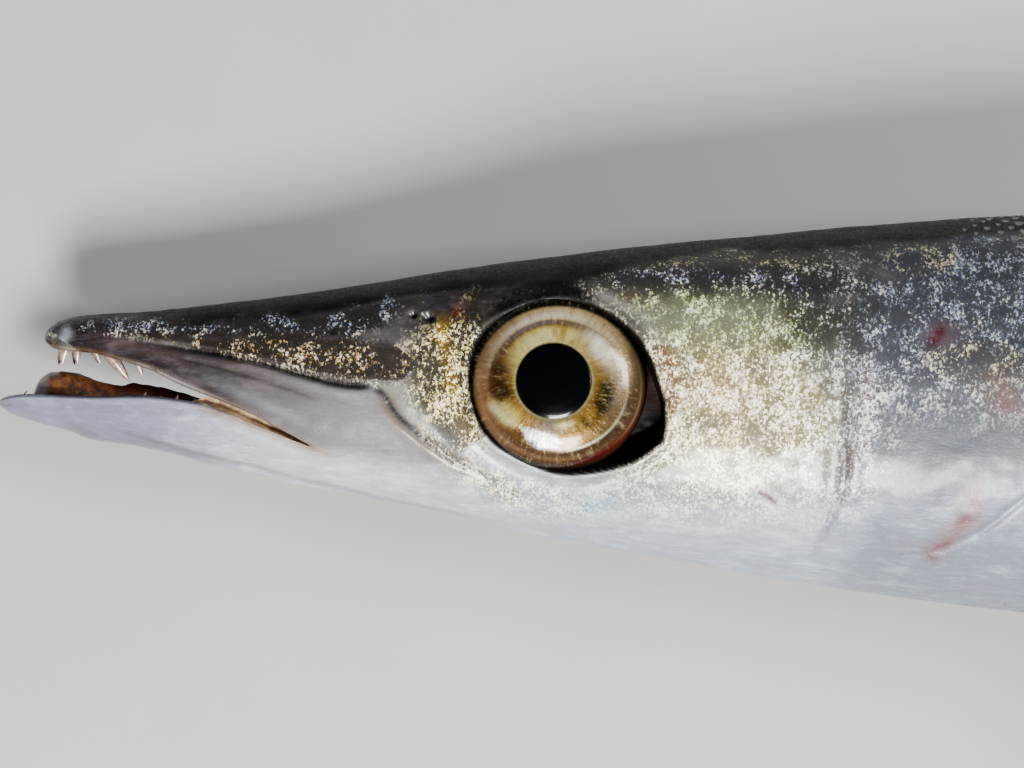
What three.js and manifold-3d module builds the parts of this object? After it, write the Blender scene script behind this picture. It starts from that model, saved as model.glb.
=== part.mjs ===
// A small barracuda lying on its right side. Jaws, gill covers, eyes, body lengths and fins are closed solids.
// Millimetres. X runs from snout to tail, Y to the back's ridge, Z up, and the fish's left side looks up.
import * as THREE from "three";
import { mergeVertices } from "three/addons/utils/BufferGeometryUtils.js";
import Module from "manifold-3d";

const wasm = await Module();
wasm.setup();

// Driving sizes. A station is a distance behind the tip of the upper jaw, and a height is above that tip.
const STANDARD_LENGTH = 336;
const JAW_TIP = -4.5; // the lower jaw reaches this far in front of the upper one
const MOUTH_CORNER = { s: 29.8, h: -11.0 };
const HEAD_END = 100;
const TRUNK_HALF = 188;
const STEM_START = 276;
const STEM_END = STANDARD_LENGTH;
const GAP = 0.3; // between neighbouring pieces
const EYE = { s: 55.9, h: -2.8, radius: 10.2, opening: 9.8, bulge: 5.3, sunk: 3.4, tilt: 0.13, yaw: 0.145 };
const COVER_PROUD = 0.5; // how far a gill cover stands out of the flank
const COVER_DEPTH = 1.8;
const MEMBRANE = 0.5;
const FLAT_ENOUGH = 0.02; // triangles are joined where that moves the surface less
const RAY = 0.95;

const LIP = 0.45; // radius of the roll along a lip
const LIP_END = 19.5; // station where the rolls run out
const LID = 0.75; // radius of the rim round an eye

const RING = 38; // points round the body
const PALATE = 7; // points across the roof or the floor of the mouth

// Profiles of the body as [station, value] knots.
const BACK = [
  [0, 0.9], [3.6, 2.0], [11.2, 2.8], [22, 4.5], [33, 6.5], [44, 8.7], [54.5, 10.6], [65.4, 12.3],
  [76, 13.8], [87, 15.3], [98, 16.6], [106, 17.4], [125, 18.9], [145, 20.0], [165, 20.2], [190, 19.4], [215, 17.4],
  [232, 15.5], [250, 12.6], [265, 9.8], [280, 7.6], [300, 5.9], [318, 5.6], [338, 6.4],
];
const BELLY = [
  [-4.5, -8.7], [-3, -9.1], [-1.3, -9.6], [3.1, -10.5], [5.8, -11.4], [11.9, -12.2], [22.9, -14.5],
  [33.9, -16.2], [44.9, -17.9], [55.9, -19.9], [66.8, -21.4], [77.8, -22.9], [88.8, -24.2], [99.7, -25.2], [108, -25.8],
  [125, -27.4], [145, -28.6], [165, -28.9], [190, -28.2], [215, -26.2], [235, -23.6], [250, -20.6],
  [265, -17.8], [280, -15.9], [300, -14.4], [318, -14.0], [338, -15.0],
];
const HALF_WIDTH = [
  [29.8, 8.4], [40, 10.0], [50, 11.6], [56, 12.6], [65, 13.8], [76, 15.2], [87, 16.6], [98, 17.8],
  [108, 18.6], [125, 19.4], [145, 19.8], [165, 19.6], [190, 18.6], [215, 16.4], [235, 14.0], [255, 11.2], [275, 8.4],
  [295, 6.2], [315, 5.0], [330, 4.2], [338, 3.4],
];
const WIDEST = [[29.8, -6.5], [40, -5.8], [50, -5.0], [60, -4.7], [100, -4.5], [165, -4.3], [338, -4.3]];
const BACK_POWER = [[29.8, 2.3], [46, 2.8], [56, 3.1], [68, 2.8], [100, 2.3], [140, 2.1], [338, 2.1]];
const BELLY_POWER = [[29.8, 1.8], [45, 1.9], [60, 2.0], [90, 1.95], [120, 2.0], [338, 2.0]];
// Height of the fish's middle plane over the floor: the head tips down a little and the tail lies down.
const MIDDLE = [
  [-4.5, 12.4], [0, 12.6], [30, 14.0], [60, 15.4], [85, 16.4], [100, 17.2], [108, 17.7], [125, 18.6],
  [145, 19.0], [165, 18.8], [190, 17.8], [215, 15.6], [235, 13.2], [255, 10.4], [275, 7.6], [295, 5.4],
  [315, 4.2], [338, 3.0],
];
// The jaws in front of the corner of the mouth.
const UPPER_HALF = [[0, 2.2], [3, 3.1], [10, 4.9], [20, 6.8], [29.8, 8.4]];
const UPPER_WIDEST = [[0, -0.6], [5, -1.3], [10, -2.2], [20, -4.6], [29.8, -6.5]];
const UPPER_LIP = [
  [0, -1.0], [2.1, -1.5], [5.5, -1.7], [8.8, -2.4], [12.2, -3.3], [14.9, -4.5], [20.4, -6.5], [26, -9.1],
  [29.8, -11],
];
const LOWER_HALF = [[-4.5, 1.5], [-2, 2.3], [0, 2.8], [3, 3.4], [10, 4.9], [20, 6.7], [29.8, 8.4]];
const LOWER_WIDEST = [[-4.5, -8.1], [0, -7.9], [10, -7.6], [20, -7.4], [29.8, -6.5]];
const LOWER_LIP = [
  [-4.5, -7.4], [-2.3, -7.1], [0, -6.95], [5, -6.9], [12.2, -6.6], [17.6, -7.1], [20.9, -7.9], [25.3, -9.4],
  [29.8, -11],
];
const SNOUT_ROUND = 1.6; // length of the rounded end of the upper jaw
const CHIN_ROUND = 2.0;

// Side views of the pieces that are parted from the head, as [station, height].
const UPPER_JAW_LINE = [
  [-3, 0.1], [4, -0.1], [10.4, -0.5], [16.5, -1.3], [23, -2.5], [28.5, -4.0], [32.8, -4.6], [35.1, -4.6],
  [36.6, -6.2], [39.4, -9.0], [43.7, -12.1], [46.5, -13.7],
];
const JAW_HINGE_LINE = [[29.8, -11.0], [34, -12.4], [40, -13.8], [46.5, -15.0], [52, -16.4]];
const GILL_COVER = [
  [84.9, 3.4], [93.6, 4.6], [101.9, 3.4], [107.2, 1.2], [109.4, -2.0], [108.3, -5.6], [105.6, -9.8],
  [102.7, -13.0], [99.2, -16.4], [94.7, -18.8], [87.6, -20.0], [81.2, -19.6], [81.6, -16.6], [83.8, -11.8],
  [84.9, -6.5], [84.9, -2.0],
];

const { cos, sin, sign, abs, sqrt, min, max, acos, PI } = Math;
const lerp = THREE.MathUtils.lerp;
const SIDES = [["left", 1], ["right", -1]];

// A smooth function through [x, y] knots, straight on at both ends.
function through(knots) {
  const slope = knots.map((k, i) => {
    const before = knots[max(i - 1, 0)];
    const after = knots[min(i + 1, knots.length - 1)];
    return (after[1] - before[1]) / (after[0] - before[0]);
  });
  return (x) => {
    const at = min(max(x, knots[0][0]), knots.at(-1)[0]);
    const i = max(knots.findIndex((k) => k[0] >= at), 1);
    const [x0, y0] = knots[i - 1];
    const [x1, y1] = knots[i];
    const span = x1 - x0;
    const t = (at - x0) / span;
    const rise = (2 * t - 3) * t * t;
    const a = (((t - 2) * t + 1) * t) * span * slope[i - 1];
    const b = ((t - 1) * t * t) * span * slope[i];
    return y0 * (1 + rise) - y1 * rise + a + b;
  };
}

const back = through(BACK);
const belly = through(BELLY);
const halfWidth = through(HALF_WIDTH);
const widest = through(WIDEST);
const backPower = through(BACK_POWER);
const bellyPower = through(BELLY_POWER);
const middle = through(MIDDLE);
const upperHalf = through(UPPER_HALF);
const upperWidest = through(UPPER_WIDEST);
const upperLip = through(UPPER_LIP);
const lowerHalf = through(LOWER_HALF);
const lowerWidest = through(LOWER_WIDEST);
const lowerLip = through(LOWER_LIP);

// A fish point: station, height and distance to the left of the middle plane. Nothing goes below the floor.
const place = (s, h, w) => new THREE.Vector3(s, h, max(middle(s) + w, 0));

// 0 at a rounded end and 1 from there on.
const rounded = (along, length) => sqrt(1 - (1 - min(along / length, 1)) ** 2);

function bodySection(s) {
  return {
    half: halfWidth(s),
    mid: widest(s),
    top: back(s),
    low: belly(s),
    upPower: backPower(s),
    lowPower: bellyPower(s),
  };
}

function upperJawSection(s) {
  const full = rounded(s, SNOUT_ROUND);
  const end = -0.2;
  return {
    half: upperHalf(s) * full,
    mid: lerp(end, upperWidest(s), full),
    top: lerp(end, back(s), full),
    low: belly(s),
    lip: lerp(end, upperLip(s), full),
    upPower: backPower(MOUTH_CORNER.s),
    lowPower: bellyPower(MOUTH_CORNER.s),
  };
}

function lowerJawSection(s) {
  const full = rounded(s - JAW_TIP, CHIN_ROUND);
  const end = -7.9;
  return {
    half: lowerHalf(s) * full,
    mid: lerp(end, lowerWidest(s), full),
    top: back(s),
    low: lerp(end, belly(s), full),
    lip: lerp(end, lowerLip(s), full),
    upPower: backPower(MOUTH_CORNER.s),
    lowPower: bellyPower(MOUTH_CORNER.s),
  };
}

// The point of a section at an angle, swollen by grow: 0 is on the back, PI / 2 on the left flank, PI on the belly.
function outline(section, angle, grow = 0) {
  const c = cos(angle);
  const n = sin(angle);
  const power = 2 / (c >= 0 ? section.upPower : section.lowPower);
  const rise = (c >= 0 ? section.top - section.mid : section.mid - section.low) + grow;
  return [section.mid + rise * sign(c) * abs(c) ** power, (section.half + grow) * sign(n) * abs(n) ** power];
}

// The angle at which a section reaches a height.
function angleAt(section, height) {
  const under = height < section.mid;
  const reach = under ? section.mid - section.low : section.top - section.mid;
  const power = (under ? section.lowPower : section.upPower) / 2;
  const share = min(abs(height - section.mid) / reach, 1) ** power;
  return acos(under ? -share : share);
}

// The half width of the body where it has a height.
function flankAt(s, h) {
  const section = bodySection(s);
  return outline(section, angleAt(section, h))[1];
}

function bodyRing(s, grow = 0) {
  const section = bodySection(s);
  return Array.from({ length: RING }, (_, i) => {
    const [h, w] = outline(section, (2 * PI * i) / RING, grow);
    return place(s, h, w);
  });
}

// A jaw's ring: its outside from one lip to the other, then the arched inside of the mouth back again.
function jawRing(s, section, first, last, arch) {
  const outside = Array.from({ length: RING / 2 }, (_, i) => {
    const [h, w] = outline(section, lerp(first, last, i / (RING / 2 - 1)));
    return place(s, h, w);
  });
  const [h, w] = outline(section, last);
  const inside = Array.from({ length: PALATE }, (_, i) => {
    const across = 1 - (2 * (i + 1)) / (PALATE + 1);
    return place(s, h + arch * (1 - across ** 2), w * across);
  });
  return [...outside, ...inside];
}

function upperJawRing(s) {
  const section = upperJawSection(s);
  const lip = angleAt(section, section.lip);
  return jawRing(s, section, -lip, lip, 0.35 * (section.top - section.lip) * rounded(s, 6));
}

function lowerJawRing(s) {
  const section = lowerJawSection(s);
  const lip = angleAt(section, section.lip);
  const arch = -0.45 * (section.lip - section.low) * rounded(s - JAW_TIP, 8);
  return jawRing(s, section, lip, 2 * PI - lip, arch);
}

const steps = (from, to, count) => Array.from({ length: count + 1 }, (_, i) => lerp(from, to, i / count));
// Stations that crowd towards a rounded end.
const crowded = (from, length) => [0.04, 0.3, 0.6].map((part) => from + part * length);

// A closed skin through rings of equal length, capped by a fan at each end.
function loft(rings) {
  const count = rings[0].length;
  const points = rings.flat();
  const faces = [];
  rings.slice(1).forEach((_, r) => {
    for (let i = 0; i < count; i++) {
      const a = r * count + i;
      const b = r * count + ((i + 1) % count);
      faces.push(a, a + count, b, b, a + count, b + count);
    }
  });
  for (const [ring, base, out] of [[rings[0], 0, false], [rings.at(-1), points.length - count, true]]) {
    const centre = ring.reduce((sum, p) => sum.add(p), new THREE.Vector3()).divideScalar(count);
    const hub = points.push(centre) - 1;
    for (let i = 0; i < count; i++) {
      const edge = [base + i, base + ((i + 1) % count)];
      faces.push(hub, edge[out ? 1 : 0], edge[out ? 0 : 1]);
    }
  }
  return new THREE.BufferGeometry().setFromPoints(points).setIndex(faces);
}

// The triangles whose three corners are different points.
function withoutSlivers(index) {
  const kept = [];
  for (let i = 0; i < index.length; i += 3) {
    const [a, b, c] = index.slice(i, i + 3);
    if (a !== b && b !== c && c !== a) kept.push(a, b, c);
  }
  return kept;
}

// A geometry as a solid for joining and cutting, turned right side out.
function solid(geometry) {
  const bare = (geometry.index ? geometry.toNonIndexed() : geometry).clone();
  bare.deleteAttribute("normal");
  bare.deleteAttribute("uv");
  const merged = mergeVertices(bare, 1e-4);
  const triVerts = new Uint32Array(withoutSlivers(merged.index.array));
  const at = merged.attributes.position;
  const corner = [new THREE.Vector3(), new THREE.Vector3(), new THREE.Vector3()];
  let volume = 0;
  for (let i = 0; i < triVerts.length; i += 3) {
    corner.forEach((v, k) => v.fromBufferAttribute(at, triVerts[i + k]));
    volume += corner[0].dot(corner[1].cross(corner[2]));
  }
  if (volume < 0) {
    for (let i = 0; i < triVerts.length; i += 3) {
      [triVerts[i], triVerts[i + 1]] = [triVerts[i + 1], triVerts[i]];
    }
  }
  return new wasm.Manifold(new wasm.Mesh({ numProp: 3, vertProperties: at.array, triVerts }));
}

// The largest closed surface of a solid, with none of its scraps.
const largest = (whole) => whole.decompose().reduce((a, b) => (b.volume() > a.volume() ? b : a));

// A block with a side view of [station, height] points, across the fish or between two heights over the floor.
function prism(points, from = -5, to = 60) {
  const shape = new THREE.Shape(points.map(([s, h]) => new THREE.Vector2(s, h)));
  return solid(
    new THREE.ExtrudeGeometry(shape, { depth: to - from, bevelEnabled: false }).translate(0, 0, from),
  );
}

// A closed outline rounded into a given number of points.
function smoothed(points, count) {
  const corners = points.map(([x, y]) => new THREE.Vector3(x, y, 0));
  const curve = new THREE.CatmullRomCurve3(corners, true, "centripetal");
  return curve.getSpacedPoints(count).slice(0, count).map(({ x, y }) => [x, y]);
}

// An outline pushed outwards by a distance, point by point.
function swollen(points, by) {
  const turn = THREE.ShapeUtils.area(points.map(([x, y]) => new THREE.Vector2(x, y))) > 0 ? 1 : -1;
  return points.map(([x, y], i) => {
    const [ax, ay] = points.at(i - 1);
    const [bx, by2] = points[(i + 1) % points.length];
    const along = new THREE.Vector2(bx - ax, by2 - ay).normalize();
    return [x + turn * along.y * by, y - turn * along.x * by];
  });
}

const slab = (from, to) => prism([[from, -60], [to, -60], [to, 60], [from, 60]]);

// A tooth: a slim cone from a root sunk in the gum to a tip that leans.
function tooth({ s, h, w, length, lean = 0, radius = 0.32, inward = 0 }) {
  const root = 0.9;
  const cone = new THREE.ConeGeometry(radius, abs(length) + root, 6);
  cone.translate(0, (abs(length) + root) / 2 - root, 0);
  const tip = new THREE.Vector3(lean, length, inward).normalize();
  cone.applyQuaternion(new THREE.Quaternion().setFromUnitVectors(new THREE.Vector3(0, 1, 0), tip));
  const at = place(s, h, w);
  return solid(cone.translate(at.x, at.y, at.z));
}

// A row of teeth on both sides of a jaw, set a little inside its lip.
function toothRow(stations, lip, half, { inside, ...facts }) {
  return stations.flatMap((s) =>
    SIDES.map(([, side]) => tooth({ s, h: lip(s), w: side * (half(s) - inside), inward: -side * 0.1, ...facts })),
  );
}

const joined = (first, others) => others.reduce((sum, next) => sum.add(next), first);

// A round bead along a line of points, closed into a loop or running out to a point at both ends.
function bead(points, radius, loop = false) {
  const curve = new THREE.CatmullRomCurve3(points, loop);
  const count = points.length;
  if (loop) return solid(new THREE.TubeGeometry(curve, count, radius, 6, true));
  const { normals, binormals } = curve.computeFrenetFrames(count);
  const rings = steps(0, 1, count).map((t, i) =>
    Array.from({ length: 6 }, (_, k) => {
      const turn = (2 * PI * k) / 6;
      const thick = radius * min(1, 0.15 + 6 * t, 0.15 + 6 * (1 - t));
      const at = curve.getPointAt(t).addScaledVector(normals[i], thick * cos(turn));
      return at.addScaledVector(binormals[i], thick * sin(turn));
    }),
  );
  return solid(loft(rings));
}

// The roll along a lip, from near one corner of the mouth round the front to the other.
function lipRoll(from, sectionOf, count) {
  const line = steps(from, LIP_END, count).map((s) => {
    const section = sectionOf(s);
    const [h, w] = outline(section, angleAt(section, section.lip));
    return [s, h, w - 0.3 * LIP];
  });
  const left = line.map(([s, h, w]) => place(s, h, w));
  const right = line.map(([s, h, w]) => place(s, h, -w));
  return bead([...left.reverse(), ...right], LIP);
}

// A fin: rays from a root line to a tip line, with the membrane between them, thinnest at its edge.
// centre(u, v) is a point of its middle surface, u across the rays and v from root to tip.
function fin({ rays, stepsOut, centre, rootThick = RAY, tipThick = 0.36, notch = 0.04 }) {
  const columns = 2 * rays - 1;
  const thick = (i, v) => {
    const root = lerp(rootThick, RAY, min(v * 5, 1));
    const ray = lerp(root, tipThick, v ** 1.5);
    return i % 2 ? min(lerp(max(root * 0.8, MEMBRANE), tipThick * 0.9, v ** 1.5), ray) : ray;
  };
  const sides = [1, -1].map((side) =>
    Array.from({ length: columns }, (_, i) => {
      const u = i / (columns - 1);
      return Array.from({ length: stepsOut + 1 }, (_, j) => {
        const v = (j / stepsOut) * (i % 2 ? 1 - notch : 1);
        const e = 1e-3;
        const across = centre(min(u + e, 1), v).sub(centre(max(u - e, 0), v));
        const out = centre(u, min(v + e, 1)).sub(centre(u, max(v - e, 0)));
        const normal = across.cross(out).normalize();
        return centre(u, v).addScaledVector(normal, (side * thick(i, v)) / 2);
      });
    }),
  );
  const points = sides.flat(2);
  const rows = stepsOut + 1;
  const at = (side, i, j) => (side * columns + i) * rows + j;
  const faces = [];
  const quad = (a, b, c, d) => faces.push(a, b, c, a, c, d);
  for (let i = 0; i < columns - 1; i++) {
    for (let j = 0; j < stepsOut; j++) {
      faces.push(at(0, i, j), at(0, i + 1, j), at(0, i + 1, j + 1));
      faces.push(at(0, i, j), at(0, i + 1, j + 1), at(0, i, j + 1));
      faces.push(at(1, i, j), at(1, i + 1, j + 1), at(1, i + 1, j));
      faces.push(at(1, i, j), at(1, i, j + 1), at(1, i + 1, j + 1));
    }
    quad(at(0, i, 0), at(1, i, 0), at(1, i + 1, 0), at(0, i + 1, 0));
    quad(at(0, i, stepsOut), at(0, i + 1, stepsOut), at(1, i + 1, stepsOut), at(1, i, stepsOut));
  }
  for (let j = 0; j < stepsOut; j++) {
    quad(at(0, 0, j), at(0, 0, j + 1), at(1, 0, j + 1), at(1, 0, j));
    const last = columns - 1;
    quad(at(0, last, j), at(1, last, j), at(1, last, j + 1), at(0, last, j + 1));
  }
  return solid(new THREE.BufferGeometry().setFromPoints(points).setIndex(faces));
}

// A fin's side view, from root to tip along lines that bow, less and less towards the last ray if fading.
function finSpan({ root, tip, bow = 0, fading = false }) {
  const rootS = through(root.map(([u, s]) => [u, s]));
  const rootH = through(root.map(([u, , h]) => [u, h]));
  const tipS = through(tip.map(([u, s]) => [u, s]));
  const tipH = through(tip.map(([u, , h]) => [u, h]));
  return (u, v) => {
    const hump = 4 * v * (1 - v) * bow * (fading ? (1 - u) ** 1.5 : 1);
    const ds = tipS(u) - rootS(u);
    const dh = tipH(u) - rootH(u);
    const length = max(sqrt(ds * ds + dh * dh), 1);
    const s = lerp(rootS(u), tipS(u), v) - (hump * abs(dh)) / length;
    return [s, lerp(rootH(u), tipH(u), v) + (sign(dh) * hump * ds) / length];
  };
}

// A fin in the fish's middle plane, sagging a little towards its tips.
function middleFin({ rays, stepsOut, root, tip, bow, sag, ...more }) {
  const span = finSpan({ root, tip, bow });
  return fin({
    rays,
    stepsOut,
    centre: (u, v) => {
      const [s, h] = span(u, v);
      return new THREE.Vector3(s, h, middle(min(s, STEM_END)) - sag * v * v);
    },
    ...more,
  });
}

// A fin's root along the ridge of the back or the keel of the belly.
const QUARTERS = [0, 0.33, 0.67, 1];
const alongBack = (from, to) => QUARTERS.map((u) => [u, lerp(from, to, u), back(lerp(from, to, u)) + GAP]);
const alongBelly = (from, to) => QUARTERS.map((u) => [u, lerp(from, to, u), belly(lerp(from, to, u)) - GAP]);

const FIRST_DORSAL = {
  rays: 5, stepsOut: 5, root: alongBack(138, 166), bow: 1.2, sag: 2.5, notch: 0.16,
  tip: [[0, 154.5, 45.6], [0.25, 163, 46.2], [0.5, 169, 41.5], [0.75, 173, 35], [1, 175.5, 28.5]],
};
const SECOND_DORSAL = {
  rays: 10, stepsOut: 5, root: alongBack(229, 262), bow: 1.4, sag: 1.5,
  tip: [[0, 247, 38.0], [0.12, 252, 37.0], [0.35, 256, 29.5], [0.65, 262, 22.0], [1, 275, 15.5]],
};
const ANAL = {
  rays: 10, stepsOut: 5, root: alongBelly(235, 267), bow: 1.4, sag: 1.5,
  tip: [[0, 253, -45.5], [0.12, 258, -44.0], [0.35, 262, -36.5], [0.65, 268, -29.0], [1, 281, -22.5]],
};
const TAIL_ROOT = STEM_END + GAP;
const TAIL_MIDDLE = -4.3;
const TAIL_UPPER = {
  rays: 9, stepsOut: 7, bow: 2.4, fading: true,
  root: [[0, TAIL_ROOT, 5.7], [1, TAIL_ROOT, TAIL_MIDDLE + 0.35]],
  tip: [
    [0, 392, 31], [0.15, 386.5, 26.5], [0.35, 374, 16.5], [0.6, 362, 6.5], [0.85, 355.5, -1.2], [1, 353.5, -3.9],
  ],
};
const TAIL_LOWER = {
  rays: 9, stepsOut: 7, bow: 2.4, fading: true,
  root: [[0, TAIL_ROOT, -14.3], [1, TAIL_ROOT, TAIL_MIDDLE - 0.35]],
  tip: [
    [0, 391, -38], [0.15, 385.5, -33.5], [0.35, 373, -24], [0.6, 361.5, -14.5], [0.85, 355.3, -7.2],
    [1, 353.5, -4.7],
  ],
};
const PECTORAL_LEFT = {
  root: [[0, 110.3, -8.4], [1, 112.2, -13.6]],
  tip: [[0, 148.5, -9.6], [0.35, 151, -12.8], [0.7, 144, -17.4], [1, 131, -19.4]],
};
const PECTORAL_RIGHT = {
  root: [[0, 111.0, -13.0], [1, 112.4, -17.4]],
  tip: [[0, 147, -26], [0.35, 147, -30.5], [0.7, 139, -34], [1, 128, -33.5]],
};
const PELVIC_ROOT = { s: 125.5, run: 3.0, outer: 5.6, inner: 2.4 };

function tailLobe(facts) {
  const span = finSpan(facts);
  const lie = through([[STEM_END, middle(STEM_END)], [345, 1.9], [356, 0.9], [400, 0.55]]);
  return fin({
    ...facts,
    rootThick: 4.6,
    centre: (u, v) => {
      const [s, h] = span(u, v);
      return new THREE.Vector3(s, h, lie(s));
    },
  });
}

// The left pectoral fin lies back along the flank, its tip a little off it.
function leftPectoral() {
  const span = finSpan({ ...PECTORAL_LEFT, bow: 0.8 });
  const lift = GAP + RAY / 2 + 0.15;
  return fin({
    rays: 11,
    stepsOut: 6,
    centre: (u, v) => {
      const [s, h] = span(u, v);
      return new THREE.Vector3(s, h, middle(s) + flankAt(s, h) + lift + 1.6 * v * v);
    },
  });
}

// The right one is spread on the floor beside the belly.
function rightPectoral(swell = 0) {
  const span = finSpan({ ...PECTORAL_RIGHT, bow: 0.8 });
  return fin({
    rays: 11,
    stepsOut: 6,
    rootThick: 0.6 + swell,
    tipThick: 0.36 + swell,
    centre: (u, v) => new THREE.Vector3(...span(u, v), 0.5),
  }).intersect(prism([[90, -60], [170, -60], [170, 0], [90, 0]], 0, 0.75 + swell));
}

// A pelvic fin trails back under the belly, its outer ray the longest.
function pelvic(side) {
  const { s, run, outer, inner } = PELVIC_ROOT;
  const length = through([[0, 30], [0.4, 28], [1, 17]]);
  return fin({
    rays: 6,
    stepsOut: 5,
    centre: (u, v) => {
      const rootS = s + run * u;
      const w = lerp(outer, inner, u);
      const section = bodySection(rootS);
      const drop = sqrt(1 - (w / section.half) ** 2);
      const h = section.mid - (section.mid - section.low) * drop - GAP - 0.25;
      const reach = length(u) * v;
      const out = lerp(0.34, 0.1, u);
      const down = lerp(0.3, 0.2, u) + 0.06 * v;
      return place(rootS + reach * 0.92, h - reach * down, side * (w + reach * out));
    },
  });
}

// The tongue, with the soft swelling at its front that fills the tip of the lower jaw.
function tongue() {
  const top = through([
    [-1, -6.6], [-0.4, -5.2], [0.8, -4.2], [2.6, -3.8], [4.8, -4.6], [7.2, -5.9], [12, -6.1], [20, -7.0],
    [26, -9.2],
  ]);
  const half = through([[-1, 0.4], [0.8, 1.5], [3, 2.0], [8, 2.1], [16, 2.6], [26, 1.4]]);
  const ringOf = (s) => {
    const section = lowerJawSection(s);
    const arch = 0.45 * (section.lip - section.low) * rounded(s - JAW_TIP, 8);
    const low = section.lip - arch * 0.9 + GAP + 0.15;
    const mid = lerp(low, top(s), 0.35);
    return Array.from({ length: 14 }, (_, i) => {
      const a = (2 * PI * i) / 14;
      const rise = cos(a) >= 0 ? top(s) - mid : mid - low;
      return place(s, mid + rise * cos(a), half(s) * sin(a));
    });
  };
  return solid(loft([...steps(-1, 6, 7), ...steps(8, 26, 6)].map(ringOf)));
}

// An eyeball: a lens shape, sunk in its socket and facing square to the flank.
function eyePlace(side) {
  const section = bodySection(EYE.s);
  const [, w] = outline(section, angleAt(section, EYE.h));
  return place(EYE.s, EYE.h, side * (w - EYE.sunk));
}

function eyeGeometry(swell = 0) {
  const profile = steps(-PI / 2, PI / 2, 10).map(
    (a) => new THREE.Vector2(max((EYE.radius + swell) * cos(a), 0), (EYE.bulge + swell) * sin(a)),
  );
  profile[0].x = profile.at(-1).x = 0;
  return new THREE.LatheGeometry(profile, 24).rotateX(PI / 2);
}

const eyeTurn = (side) => new THREE.Euler(-side * EYE.tilt, -side * EYE.yaw, 0);

// The hollow for an eye: its own shape with a little room, and the round opening between the lids.
function socket(side) {
  const at = eyePlace(side);
  const turn = new THREE.Quaternion().setFromEuler(eyeTurn(side));
  const opening = new THREE.CylinderGeometry(EYE.opening + 0.2, EYE.opening - 0.2, 9, 28);
  opening.rotateX(PI / 2).scale(1, 0.95, side).translate(0, 0, side * 4.5);
  const [bed, mouth] = [eyeGeometry(GAP), opening].map((one) =>
    solid(one.applyQuaternion(turn).translate(at.x, at.y, at.z)),
  );
  return bed.add(mouth);
}

// The raised rim of the lids, lying on the flank all round an eye.
function lid(side) {
  const radius = EYE.opening + 0.5 * LID;
  const around = Array.from({ length: 28 }, (_, i) => {
    const turn = (2 * PI * i) / 28;
    const s = EYE.s + radius * cos(turn);
    const h = EYE.h + 0.96 * radius * sin(turn);
    return place(s, h, side * (flankAt(s, h) - 0.2 * LID));
  });
  return bead(around, LID, true);
}

// Flesh in front of the gills.
const bodyLoft = (from, to, count, grow = 0) => solid(loft(steps(from, to, count).map((s) => bodyRing(s, grow))));
const jawStations = (tip, round) => [...crowded(tip, round), ...steps(tip + round, MOUTH_CORNER.s + 0.8, 10)];
const snout = solid(loft(jawStations(0, SNOUT_ROUND).map(upperJawRing)));
const chin = solid(loft(jawStations(JAW_TIP, CHIN_ROUND).map(lowerJawRing)));
const snoutWithLip = snout.add(lipRoll(0.3, upperJawSection, 14));
const chinWithLip = chin.add(lipRoll(JAW_TIP + 0.4, lowerJawSection, 14));
const headBlock = bodyLoft(MOUTH_CORNER.s, HEAD_END - GAP / 2, 14);

// Cuts through the head.
const lower = [[-20, -60], [-20, -20], ...JAW_HINGE_LINE, [54, -23.5], [54, -60]];
const lowerZone = prism(lower);
const lowerZoneWide = prism(swollen(lower, GAP));
const jawZoneLine = [...UPPER_JAW_LINE, ...JAW_HINGE_LINE.slice(0, 4).reverse(), [29, -11.6], [-3, -11.6]];
const upperZone = prism(jawZoneLine);
const upperZoneWide = prism(swollen(jawZoneLine, GAP));

// Gill covers: plates laid in a bed in the flank.
const coverCore = bodyLoft(70, 122, 10, -COVER_DEPTH);
const coverSkin = bodyLoft(70, 122, 10, COVER_PROUD);
const bedCore = bodyLoft(70, 122, 10, -COVER_DEPTH - GAP);
const coverLine = smoothed(GILL_COVER, 30);
const coverZone = prism(coverLine);
const covers = coverSkin.intersect(coverZone).subtract(coverCore);
const coverLeft = covers.intersect(prism(swollen(coverLine, 1), 18, 60));
const coverRight = covers.intersect(prism(swollen(coverLine, 1), -5, 16));
const coverBed = prism(swollen(coverLine, GAP)).subtract(bedCore);

const nostril = (s, h, side, radius) => {
  const section = bodySection(s);
  const at = place(s, h, side * outline(section, angleAt(section, h))[1]);
  return solid(new THREE.SphereGeometry(radius, 8, 6).scale(1.4, 1, 1).translate(at.x, at.y, at.z));
};
const pits = SIDES.flatMap(([, side]) => [nostril(39.2, 4.2, side, 0.55), nostril(41.6, 4.0, side, 0.8)]);

const lids = SIDES.map(([, side]) => lid(side));
const hollows = [coverBed, lowerZoneWide, upperZoneWide, ...SIDES.map(([, side]) => socket(side)), ...pits];
const skull = hollows.reduce((left, next) => left.subtract(next), joined(snout.add(headBlock), lids));

const upperTeeth = [
  ...toothRow([2.8], upperLip, upperHalf, { inside: 0.9, length: -2.0, lean: -0.5, radius: 0.4 }),
  ...toothRow([4.1], upperLip, upperHalf, { inside: 0.9, length: -2.0, lean: -0.25, radius: 0.4 }),
  ...toothRow([5.8], upperLip, upperHalf, { inside: 1.1, length: -1.3, lean: 0.8, radius: 0.36 }),
  ...toothRow([7.4], upperLip, upperHalf, { inside: 1.6, length: -4.1, lean: 3.2, radius: 0.62 }),
  ...toothRow([10.7], upperLip, upperHalf, { inside: 1.4, length: -1.7, lean: 0.7, radius: 0.42 }),
  ...toothRow([14, 17, 20], upperLip, upperHalf, { inside: 0.9, length: -0.8, lean: 0.15, radius: 0.34 }),
];
const lowerTeeth = [
  tooth({ s: -2.0, h: -7.3, w: 0, length: 1.5, lean: 0.3, radius: 0.5 }),
  ...toothRow([8.2, 11.2, 14.4, 17.2], lowerLip, lowerHalf, { inside: 1.0, length: 1.2, lean: 0.35, radius: 0.38 }),
];
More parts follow.
